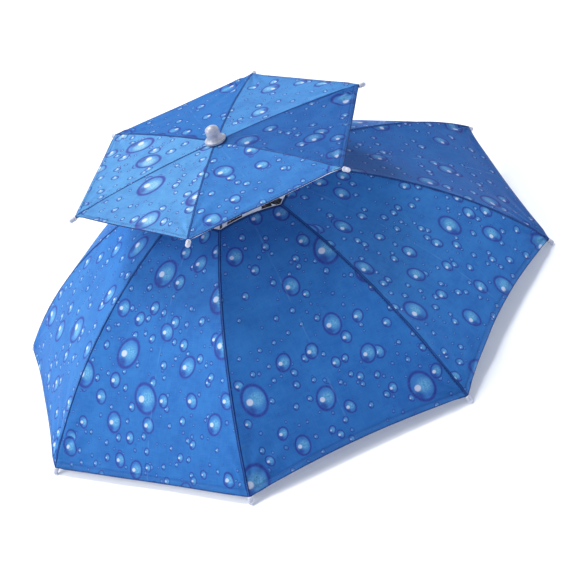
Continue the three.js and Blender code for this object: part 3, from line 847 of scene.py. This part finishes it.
def woven_elastic():
    """Black woven elastic: fine cross ribs and long warp lines, with a soft fibre sheen."""
    finish = Finish("woven_elastic", sheen_weight=0.5, sheen_roughness=0.4)
    place = finish.uv("band")
    split = finish.split(place)
    ribs = finish.math("SINE", split.out("X") * (TURN / ELASTIC_RIB)) * 0.5 + 0.5
    warp = finish.math("SINE", split.out("Y") * (TURN / ELASTIC_WARP)) * 0.5 + 0.5
    fibres = finish.noise(place, 1200, 3.0)
    weave = ribs * 0.5 + warp * 0.3 + fibres * 0.4
    colour = finish.mix(weave, (0.006, 0.006, 0.008), (0.038, 0.039, 0.046))
    return finish.wear(colour, 0.72 + fibres * 0.2, weave, 0.0005)


def set_corner_map(mesh, name, pairs):
    """A UV map from (faces, corners, 2) numbers in metres."""
    layer = mesh.uv_layers.new(name=name)
    layer.data.foreach_set("uv", pairs.astype(np.float32).ravel())


def set_values(mesh, name, domain, values):
    """A number at each point or face of a mesh."""
    attribute = mesh.attributes.new(name, "FLOAT", domain)
    attribute.data.foreach_set("value", values.astype(np.float32).ravel())


def panel_folds(draw, across, down, width, length, cloth):
    """How far a panel's cloth stands off its taut shape, from places across and down the panel.
    Waves: long sines in drawn directions. Fans: from each tip, a sine of the angle round it that dies
    away. Puckers: short sines down the seam that die away from it."""
    seam = width / 2 - np.abs(across)
    height = np.zeros_like(across)
    for _ in range(WAVES):
        heading, phase = draw.uniform(0, TURN, 2)
        pitch = draw.uniform(*WAVE_PITCH)
        course = across * math.cos(heading) + down * math.sin(heading)
        height += cloth["wave"] / WAVES * np.sin(TURN * course / pitch + phase)
    bottom = width[:, -1:].max() / 2
    for side in (-1, 1):
        phase = draw.uniform(0, TURN)
        to_side = across - side * bottom
        to_hem = down - length
        away = np.hypot(to_side, to_hem)
        turn = np.arctan2(-to_hem, np.abs(to_side) + 1e-6)
        rays = np.sin(FAN_FOLDS * turn + phase + FAN_TWIST * away)
        height += cloth["fan"] * rays * np.exp(-away / FAN_REACH) * smoothstep(0, FAN_CLEAR, away)
    phase = draw.uniform(0, TURN)
    amount, pitch = PUCKER_DRIFT
    drift = amount * np.sin(TURN * down / pitch + phase) + PUCKER_SHIFT * np.sign(across)
    puckers = np.sin(TURN * down / cloth["pucker_pitch"] + drift)
    height += cloth["pucker"] * puckers * np.exp(-seam / PUCKER_REACH)
    return height * np.minimum(1, seam / SEAM_HOLD)


def canopy_cloth(tier, draw):
    """A canopy's outer face as one sheet. A panel spans its two rods in straight lines, hangs in by
    the sag, half a sine down it and a parabola across it, and its two free edges are cut back
    halfway. Returns the points (columns round, rows, 3), the distances to hem and crown at each, and
    for each panel its flat shape and its distances to both seams."""
    spread = np.linspace(0, 1, tier.cloth["columns"] + 1)
    across = (spread - CROWDING * np.sin(TURN * spread) / TURN)[:, None]
    belly = 4 * across * (1 - across)
    step = np.linspace(0, 1, tier.cloth["rows"] + 1)[None]
    fine = np.linspace(0, 1, COURSE_STEPS)
    sheet, seams, hems, crowns, flats = [], [], [], [], []
    for k, (left, right) in enumerate(tier.pairs()):
        first = tier.crown_share[k] * belly
        last = 1 - tier.hem_share[k] * belly
        share = first + (last - first) * step
        on_left = left.down(tier.start, share, CLOTH_LIFT)
        on_right = right.down(tier.start, share, CLOTH_LIFT)
        taut = on_left + (on_right - on_left) * across[..., None]
        width = np.linalg.norm(on_right - on_left, axis=-1)
        gone = way_along((left.down(tier.start, fine) + right.down(tier.start, fine)) / 2)
        length = gone[-1]
        down = np.interp(share, fine, gone)
        side = (across - 0.5) * width
        outward = unit(np.cross(np.gradient(taut, axis=1), on_right - on_left))
        sag = tier.cloth["sags"][k] * belly * np.sin(math.pi * np.clip(share, 0, 1))
        lift = panel_folds(draw, side, down, width, length, tier.cloth) - sag
        sheet.append(taut + outward * lift[..., None])
        seams.append(np.stack((width / 2 + side, width / 2 - side), axis=-1))
        hems.append((last - share) * length)
        crowns.append((share - first) * length)
        flats.append(np.stack((side, down), axis=-1))
    points, hem, crown = (
        np.concatenate([grid[:-1] for grid in grids]) for grids in (sheet, hems, crowns)
    )
    return points, {"hem": hem, "crown": crown}, flats, seams


def grid_normals(points):
    """The outward direction at each point of a sheet that closes round its columns."""
    return unit(np.cross(np.gradient(points, axis=1), way_round(points)))


def corner_values(grids):
    """Values at the four corners of every face, from one grid for each panel."""
    return np.concatenate(
        [
            np.stack((g[:-1, :-1], g[:-1, 1:], g[1:, 1:], g[1:, :-1]), axis=2).reshape(-1, 4, 2)
            for g in grids
        ]
    )


def print_maps(flats, turns, draw):
    """Each panel's place on the printed cloth: its own flat shape, turned a little as it was cut and
    moved to its own part of the roll."""
    maps = []
    for flat, turn in zip(flats, turns):
        move = draw.uniform(0, 3, 2)
        cos, sin = math.cos(turn), math.sin(turn)
        x, y = flat[..., 0], flat[..., 1]
        maps.append(np.stack((x * cos - y * sin + move[0], x * sin + y * cos + move[1]), axis=-1))
    return maps


def canopy(tier):
    """A tier's whole cover with its maps, its lining on the inner face, and its thickness."""
    cloth = tier.cloth
    draw = np.random.default_rng(cloth["seed"])
    points, values, flats, seams = canopy_cloth(tier, draw)
    around, deep = points.shape[:2]
    number = np.arange(around * deep).reshape(around, deep)
    after = np.roll(number, -1, axis=0)
    quads = np.stack((number[:, :-1], number[:, 1:], after[:, 1:], after[:, :-1]), axis=-1)
    mesh = mesh_of(tier.name + "_cloth", points, quads)
    set_corner_map(mesh, "print", corner_values(print_maps(flats, cloth["turns"], draw)))
    set_corner_map(mesh, "panel", corner_values(flats))
    set_corner_map(mesh, "seams", corner_values(seams) / tier.lap)
    for key, grid in values.items():
        set_values(mesh, key, "POINT", grid)
    # Painted light and shade for each face: its panel's own, with painted shade near the crown and
    # painted light halfway down
    down = (np.arange(cloth["rows"]) + 0.5) / cloth["rows"]
    course = cloth["crown_shade"] * (1 - down) ** 2 - cloth["middle_light"] * np.sin(math.pi * down)
    painted_shadings = np.asarray(cloth["painted_shadings"])[:, None, None] + course
    set_values(mesh, "painted_shading", "FACE", np.repeat(painted_shadings, cloth["columns"], axis=1))
    mesh.materials.append(finishes["cloth"])
    mesh.materials.append(finishes["lining"])
    cover = in_scene(mesh.name, mesh)
    wall = cover.modifiers.new("wall", "SOLIDIFY")
    wall.thickness = CLOTH_THICKNESS
    wall.offset = -1
    wall.material_offset = 1
    wall.material_offset_rim = 1
    fitted(cover, "printed_cloth", tier.name + "_canopy")
    return cover, points, grid_normals(points)


def edge_roll(points, normals, row, name, outside, inside, reach):
    """The turned and sewn edge of a canopy, as a flat roll carried round the cloth's edge: a narrow
    band outside, and a wider turn-up on the inner face, which has the inner finish."""
    path = points[:, row]
    beyond = unit(path - points[:, row - 1 if row else 1])
    outer = [(-EDGE_BAND, -0.0003), (-0.0002, 0.0001), (reach, -0.0001), (reach + 0.0002, -0.0006)]
    inner = [
        (reach - 0.0003, -EDGE_DEPTH),
        (-TURN_UP + 0.0006, -EDGE_DEPTH),
        (-TURN_UP, -0.0009),
        (-TURN_UP + 0.0006, -0.0004),
    ]
    rings = swept(path, beyond, normals[:, row], outer + inner)
    roll = skin(name, rings, finishes[outside], closed=True)
    roll.data.materials.append(finishes[inside])
    numbers = np.arange(len(roll.data.polygons)) % rings.shape[1]
    on_inner_face = numbers >= len(outer) - 1
    roll.data.polygons.foreach_set("material_index", on_inner_face.astype(np.int32))
    return fitted(roll, "printed_cloth")


def seam_lines(tier, points, normals):
    """For each seam its course down the cloth, and the directions up from it and across it."""
    for k in range(tier.panels):
        path = points[k * tier.cloth["columns"]]
        up = normals[k * tier.cloth["columns"]]
        yield path, up, unit(np.cross(up, np.gradient(path, axis=0)))


def seam_welts(tier, points, normals, name):
    """The lapped seams: along each rod a low fold of cloth, steep on one flank, carried down the
    canopy's outer face."""
    width = WELT_WIDTH * tier.lap
    height = WELT_HEIGHT * tier.lap
    profile = [(-width * 0.75, -0.0002), (-width * 0.45, height * 0.45), (-width * 0.10, height)]
    profile += [(width * 0.22, height * 0.9), (width * 0.30, -0.0002), (0.0, -0.0004)]
    lines = seam_lines(tier, points, normals)
    welts = [ended(swept(path, side, up, profile)) for path, up, side in lines]
    return copies(name, welts, tier.name + "_welt", "printed_cloth")


def canopy_stitching(tier, points, normals, name):
    """Rows of stitches: beside each seam, and round both free edges on the turn-up."""
    inset = STITCH_INSET * tier.lap
    lines = seam_lines(tier, points, normals)
    rows = [stitch_row((path - side * inset)[2:-2], up[2:-2]) for path, up, side in lines]
    edges = [points.shape[1] - 2]
    if tier.crown_share[0] > 0:
        edges.append(1)
    for edge in edges:
        rows.append(stitch_row(points[:, edge], normals[:, edge], closed=True))
    return copies(name, np.concatenate(rows), "thread", "printed_cloth")


def rod_ties(tier, name):
    """Loops of thread that tack the cloth to its rods: three turns that hug the rod and the cloth
    over it."""
    loops = []
    for rod in tier.rods:
        for share in TIE_SHARES:
            distance = tier.start + share * (rod.end - tier.start)
            place, ahead = rod.at(np.array([distance, distance + 0.001]))
            forward = unit(ahead - place)
            side, up = upright(forward)
            for turn in (-1, 0, 1):
                centre = place + forward * turn * TIE_PITCH + up * TIE_RISE
                loops.append(wire_ring(centre, side, up, *TIE_REACH, TIE_THREAD, corners=18, sides=5))
    return copies(name, loops, "thread", "printed_cloth", closed=True)


def round_rod(rod):
    """A rod as a round bar along its course, a little thinner where it starts."""
    path = rod.at(np.linspace(rod.distance[0], rod.distance[-1], ROD_STEPS))
    rings = swept(path, *upright(unit(np.gradient(path, axis=0))), circle(ROD_RADIUS))
    rings[0] = path[0] + (rings[0] - path[0]) * ROD_NOSE
    return fitted(skin(rod.node + "_bar", ended(rings), finishes["steel"]), "rod", rod.node)


def tip_cap(rod):
    """A tip cap: a neck, a bead, a waisted body and a round end, turned about the rod's own line."""
    points = node_points(rod.tip)
    length = ((points - rod.corner) @ rod.direction).max()
    away = np.linalg.norm(np.cross(points - rod.corner, rod.direction), axis=1).max()
    neck = away * TIP_NECK
    end = away * TIP_END
    profile = [
        (0.0, 0.0006),
        (0.0016, 0.0004),
        (neck * 0.93, 0.0),
        (neck, 0.0003),
        (neck, 0.0012),
        (away, 0.0019),
        (away, 0.0026),
        (away * 0.93, 0.0033),
        (away * 0.90, length * 0.52),
        (end, length - away),
        *arc((0.0, length - end), end, 0, 90, 7)[1:],
    ]
    placed = rod.corner + revolved(profile, sides=20) @ np.stack((rod.side, rod.up, rod.direction))
    return fitted(skin(rod.tip + "_cap", placed, finishes["tip"]), "tip", rod.tip)


def tip_ties(tiers, name):
    """Thread wound round each tip's neck where the cloth's corner is sewn on: four close turns."""
    loops = []
    for rod in (rod for tier in tiers for rod in tier.rods):
        for turn in range(4):
            centre = rod.corner + rod.direction * (0.0003 + turn * WINDING_PITCH)
            ways = (rod.side, rod.up, WINDING_RADIUS, WINDING_RADIUS)
            loops.append(wire_ring(centre, *ways, WINDING_THREAD, corners=16, sides=5))
    return copies(name, loops, "white_thread", "tip", closed=True)


def ferrule_cap():
    """The cap on the post: a foot whose lip is fluted, a flare and a stem with a rounded top, turned
    about the post. The flutes are a sine round the foot that dies away up the flare."""
    low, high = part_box("ferrule")
    foot = (high.x - low.x) / 2
    tall = high.z - low.z
    stem = foot * STEM_SHARE
    flare = foot - stem
    lip = tall * LIP_SHARE
    dome = stem * DOME_SHARE
    turn = np.linspace(0.15, math.pi / 2, 9)
    profile = [
        (0.0, 0.0006),
        (foot * 0.5, 0.0006),
        (foot * 0.93, 0.0),
        (foot, 0.0008),
        (foot, lip),
        *arc((foot + 0.0002, lip + flare), flare, 262, 186, 12),
        (stem * 1.01, lip + flare + 0.0008),
        (stem, tall - dome),
        *zip(stem * np.cos(turn), tall - dome + dome * np.sin(turn)),
    ]
    rings = revolved(profile, FERRULE_SIDES)
    angle = np.arange(FERRULE_SIDES) / FERRULE_SIDES * TURN
    height = rings[..., 2]
    fade = smoothstep(lip + flare * 0.9, lip * 0.8, height) * smoothstep(0.0, lip * 0.5, height)
    flutes = FLUTE_DEPTH * fade * (0.5 + 0.5 * np.cos(FLUTES * angle))
    squeeze = 1 - flutes / np.maximum(np.hypot(rings[..., 0], rings[..., 1]), 1e-4)
    rings[..., :2] *= squeeze[..., None]
    rings[..., 2] += low.z
    cap = skin("ferrule_cap", rings, finishes["ferrule"], smooth=50)
    return fitted(cap, "ferrule", "ferrule")


def post_tube():
    """The post: a round tube with rolled ends."""
    low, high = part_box("post")
    radius = (high.x - low.x) / 2
    inner = radius - POST_EDGE
    profile = [(0.0, low.z), (inner, low.z), (radius, low.z + POST_EDGE)]
    profile += [(radius, high.z - POST_EDGE), (inner, high.z), (0.0, high.z)]
    rings = revolved(profile, sides=32)
    return fitted(skin("post_tube", rings, finishes["steel"], smooth=40), "rod", "post")


def collar_wires():
    """The binding wires that hold rods and stretchers in their collars: two rings of wire round each
    collar, under its notches."""
    loops = []
    for name in ("lower_hub", "upper_hub", "lower_runner", "upper_runner"):
        low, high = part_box(name)
        reach = high.x + WIRE_RADIUS / 2
        for share in WIRE_SHARES:
            centre = np.array([0, 0, low.z + (high.z - low.z) * share])
            ways = (AXES[0], AXES[1], reach, reach)
            loops.append(wire_ring(centre, *ways, WIRE_RADIUS, corners=64, sides=8))
    return copies("collar_wires", loops, "bright", "rod", closed=True)


def saddle_rivets(tiers):
    """A rivet across each stretcher's saddle: a shank with a domed head on both ends."""
    profile = [(r, z - RIVET_HALF) for r, z in RIVET_HEAD]
    profile += [(r, RIVET_HALF - z) for r, z in reversed(RIVET_HEAD)]
    rivets = []
    for tier in tiers:
        for number, rod in enumerate(tier.rods, 1):
            points = node_points(f"{tier.name}_stretcher_{number}")
            distance = np.hypot(points[:, 0], points[:, 1])
            saddle = points[distance > distance.max() - SADDLE_LENGTH].mean(axis=0)
            ahead = unit(rod.at(np.array([distance.max()]))[0] * (1, 1, 0))
            side = np.array([-ahead[1], ahead[0], 0.0])
            local = revolved(profile, sides=12) @ np.stack((ahead, AXES[2], side))
            rivets.append(saddle - AXES[2] * SADDLE_DROP + local)
    return copies("saddle_rivets", rivets, "bright", "rod")


def softened(name, material):
    """A frame node kept as it is, with its edges rounded and its own finish."""
    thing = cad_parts[name]
    weld = thing.modifiers.new("weld", "WELD")
    weld.merge_threshold = 1e-6
    bevel = thing.modifiers.new("bevel", "BEVEL")
    bevel.width = EDGE_ROUNDING
    bevel.segments = 2
    bevel.limit_method = "ANGLE"
    bevel.angle_limit = math.radians(35)
    thing.data.materials.clear()
    thing.data.materials.append(material)


def head_parts():
    """The head frame in one mesh: the disc with the post's socket, turned about the post, four arms
    as quarter ovals with a rounded section, and on each arm a flat loop round the band."""
    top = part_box("head_frame")[1].z
    band_low, band_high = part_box("headband")
    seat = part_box("post")[0].z - SOCKET_GAP
    base = seat - DISC_THICKNESS
    profile = [
        (0.0, base),
        (DISC_RADIUS - 0.0012, base),
        (DISC_RADIUS, base + 0.0012),
        (DISC_RADIUS, seat - 0.0008),
        (DISC_RADIUS - 0.0008, seat),
        (SOCKET_WALL + 0.003, seat),
        (SOCKET_WALL + 0.0006, seat + 0.0012),
        (SOCKET_WALL, seat + 0.003),
        (SOCKET_WALL, top - 0.0005),
        (SOCKET_WALL - 0.0005, top),
        (SOCKET_BORE, top),
        (SOCKET_BORE, seat),
        (0.0, seat),
    ]
    shapes = [(revolved(profile, sides=64), False)]
    inner = DISC_RADIUS * ARM_START
    fall = seat - DISC_THICKNESS / 2 - band_high.z
    turn = np.linspace(0, math.pi / 2, 28)[:, None]
    wide = BAND_THICKNESS + 2 * LOOP_GAP + LOOP_WALL
    tall = band_high.z - band_low.z + 2 * LOOP_GAP + LOOP_WALL
    loop = rounded_box(wide, tall, LOOP_CORNER, steps=5)
    for arm in range(ARMS):
        angle = arm / ARMS * TURN
        out = np.array([math.cos(angle), math.sin(angle), 0.0])
        tangent = np.array([-math.sin(angle), math.cos(angle), 0.0])
        reach = (band_high.x if arm % 2 == 0 else band_high.y) - BAND_THICKNESS / 2
        height = band_high.z + fall * np.cos(turn)
        path = out * (inner + (reach - inner) * np.sin(turn)) + AXES[2] * height
        path = np.concatenate((path, path[-1:] - AXES[2] * ARM_FOOT))
        up = unit(np.cross(np.gradient(path, axis=0), tangent))
        shapes.append((ended(swept(path, tangent, up, rounded_box(*ARM_SECTION))), False))
        middle = out * reach + AXES[2] * (band_low.z + band_high.z) / 2
        course = middle + out * loop[:, :1] + AXES[2] * loop[:, 1:]
        away = unit(np.cross(way_round(course), tangent))
        away = away * np.sign(((course - middle) * away).sum(axis=1, keepdims=True))
        shapes.append((swept(course, tangent, away, rounded_box(*LOOP_SECTION, steps=3)), True))
    counts = np.cumsum([0] + [shape[..., 0].size for shape, _ in shapes])
    points = np.concatenate([shape.reshape(-1, 3) for shape, _ in shapes])
    quads = np.concatenate(
        [turned_grid(shape.shape[:2], True, ring) + count for (shape, ring), count in zip(shapes, counts)]
    )
    carrier = piece("head_carrier", points, quads, finishes["moulding"], smooth=45)
    return fitted(carrier, "moulding", "head_frame")


def headband_loop():
    """The elastic band: a flat section with soft edges carried round an oval, with fine ribs across
    it, a sine of the length gone round, and a doubled stretch at the nape where it is sewn."""
    low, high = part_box("headband")
    half = BAND_THICKNESS / 2
    tall = high.z - low.z
    angle = np.arange(BAND_STEPS) / BAND_STEPS * TURN - math.pi / 2
    level = np.full(BAND_STEPS, (low.z + high.z) / 2)
    path = np.stack(((high.x - half) * np.cos(angle), (high.y - half) * np.sin(angle), level), axis=-1)
    section = rounded_box(tall, BAND_THICKNESS, BAND_THICKNESS * BAND_CORNER)
    edge, count = BAND_FLAT
    across = np.linspace(edge - tall / 2, tall / 2 - edge, count)
    face = np.stack((across, np.full(count, half)), axis=-1)
    corner = len(section) // 4
    first, sides, last = np.split(section, (corner, 3 * corner))
    section = np.concatenate((first, face[::-1], sides, face * (1, -1), last))
    gone = way_along(path)
    ribs = BAND_RIB * np.sin(TURN * gone / BAND_RIB_PITCH)
    from_join = np.minimum(gone, gone[-1] - gone)
    double = BAND_JOIN_SWELL * smoothstep(BAND_JOIN, BAND_JOIN - BAND_JOIN_FADE, from_join)
    swell = 1 + (ribs + double)[:, None] / half
    rings = swept(path, AXES[2], np.cross(way_round(path), AXES[2]) * swell, section)
    quads = turned_grid(rings.shape[:2], True, True)
    mesh = mesh_of("headband_elastic", rings, quads)
    ring, point = np.divmod(quads, rings.shape[1])
    closing = (ring == 0) & (ring[:, :1] == BAND_STEPS - 1)  # where the last quads meet the first ring
    length = np.append(gone, gone[-1] + np.linalg.norm(path[0] - path[-1]))
    along_band = length[np.where(closing, BAND_STEPS, ring)]
    set_corner_map(mesh, "band", np.stack((along_band, section[point, 0]), axis=-1))
    mesh.materials.append(finishes["elastic"])
    turned_out(mesh)
    return fitted(in_scene("headband_elastic", mesh), "elastic", "headband")


def declare_canopy(tier):
    """Measures a canopy's panels: the mean width of each and its flat length. Nothing is kept or
    returned.
    """
    widths, lengths = [], []
    for left, right in tier.pairs():
        hem = np.linalg.norm(right.corner - left.corner)
        crown = np.linalg.norm(right.at(np.array([tier.start])) - left.at(np.array([tier.start])))
        run = way_along(left.at(np.linspace(tier.start, left.end, RUN_STEPS)))[-1]
        widths.append((hem + crown) / 2)
        lengths.append(math.sqrt(run ** 2 - ((hem - crown) / 2) ** 2))


def studio():
    """A pale floor that curves up into a low wall and glows a little, soft light from the left and
    from behind, and bluish white surroundings."""
    finish = Finish(
        "studio_floor", roughness=0.7, emission_color=(0.62, 0.72, 1.0, 1.0), emission_strength=0.13
    )
    mottle = finish.noise(finish.object_place(), 3.0)
    paint = finish.wear(finish.mix(mottle, (0.90, 0.90, 0.93), (0.94, 0.94, 0.96)))
    cove = arc((SWEEP_RADIUS, SWEEP_CURVE), SWEEP_CURVE, 270, 360, 10)
    profile = [(0.0, 0.0), (1.0, 0.0), *cove, (SWEEP_RADIUS + SWEEP_CURVE, SWEEP_HEIGHT)]
    skin("studio_floor", revolved(profile, 96), paint)

    world = bpy.data.worlds.new("white_room")
    world.use_nodes = True
    background = world.node_tree.nodes["Background"]
    background.inputs["Color"].default_value = (0.80, 0.89, 1.0, 1)
    background.inputs["Strength"].default_value = 0.45
    bpy.context.scene.world = world
    suns = [  # name, where from, strength, spread in degrees, colour
        ("key_light", (-0.80, -0.15, 0.60), 2.0, 34, (1.0, 0.99, 0.97)),
        ("back_light", (-0.35, 0.40, 0.85), 2.1, 22, (1.0, 1.0, 1.0)),
    ]
    for name, place, strength, spread, colour in suns:
        lamp = bpy.data.lights.new(name, "SUN")
        lamp.energy = strength
        lamp.angle = math.radians(spread)
        lamp.color = colour
        thing = in_scene(name, lamp)
        thing.matrix_world = Vector(place).to_track_quat("Z", "Y").to_matrix().to_4x4()
    bpy.context.scene.view_settings.view_transform = "Standard"


def photograph_camera():
    """The camera at the photograph's angle, with its lean."""
    data = bpy.data.cameras.new("camera")
    data.sensor_width = SENSOR
    data.lens = LENS
    camera = in_scene("camera", data)
    camera.matrix_world = (
        Matrix.Translation(CAMERA_PLACE)
        @ Matrix.Rotation(CAMERA_AZIMUTH, 4, "Z")
        @ Matrix.Rotation(math.pi / 2 - CAMERA_ELEVATION, 4, "X")
        @ Matrix.Rotation(CAMERA_ROLL, 4, "Z")
    )
    bpy.context.scene.camera = camera


photograph_camera()
studio()

finishes = {
    "cloth": printed_cloth(),
    "lining": coated_lining(),
    # The seams' folds are real; their colour, darker than the print, is painted shade, much darker on the
    # lower tier
    "lower_welt": edge_tape("lower_seam_cloth", (0.008, 0.042, 0.190), (0.020, 0.090, 0.330)),
    "upper_welt": edge_tape("upper_seam_cloth", (0.016, 0.082, 0.320), (0.034, 0.150, 0.480)),
    # The hem roll's outer band, drawn navy: painted shade on the hem's turned edge
    "painted_shade_edge": edge_tape("hem_edge_painted_shade", (0.006, 0.024, 0.120), (0.012, 0.048, 0.200)),
    "silver": edge_tape("silver_edge", (0.70, 0.72, 0.79), (0.86, 0.87, 0.93)),
    "thread": sewing_thread(),
    "white_thread": edge_tape("white_thread", (0.60, 0.61, 0.66), (0.85, 0.86, 0.90)),
    "steel": coated_steel(),
    "bright": plain_steel(),
    "moulding": black_moulding(),
    "tip": pale_plastic("tip_plastic", (0.38, 0.40, 0.49), (0.56, 0.57, 0.65), 0.4),
    "ferrule": pale_plastic("ferrule_plastic", (0.33, 0.34, 0.41), (0.53, 0.53, 0.60), 0.3),
    "elastic": woven_elastic(),
}

tiers = [Tier("lower"), Tier("upper")]
for tier in tiers:
    cover, points, normals = canopy(tier)
    sewn = [
        edge_roll(points, normals, -1, tier.name + "_hem", "painted_shade_edge", "silver", HEM_REACH),
        seam_welts(tier, points, normals, tier.name + "_seams"),
        canopy_stitching(tier, points, normals, tier.name + "_stitching"),
    ]
    if tier.name == "lower":
        sewn.append(edge_roll(points, normals, 0, "crown_binding", "silver", "silver", CROWN_REACH))
    sewn.append(rod_ties(tier, tier.name + "_rod_ties"))
    for rod in tier.rods:
        round_rod(rod)
        tip_cap(rod)
    declare_canopy(tier)

tip_ties(tiers, "tip_ties")
saddle_rivets(tiers)
collar_wires()
ferrule_cap()
post_tube()
head_parts()
headband_loop()
for tier in tiers:
    for number in range(1, tier.panels + 1):
        softened(f"{tier.name}_stretcher_{number}", finishes["steel"])
    softened(tier.name + "_hub", finishes["moulding"])
    softened(tier.name + "_runner", finishes["moulding"])
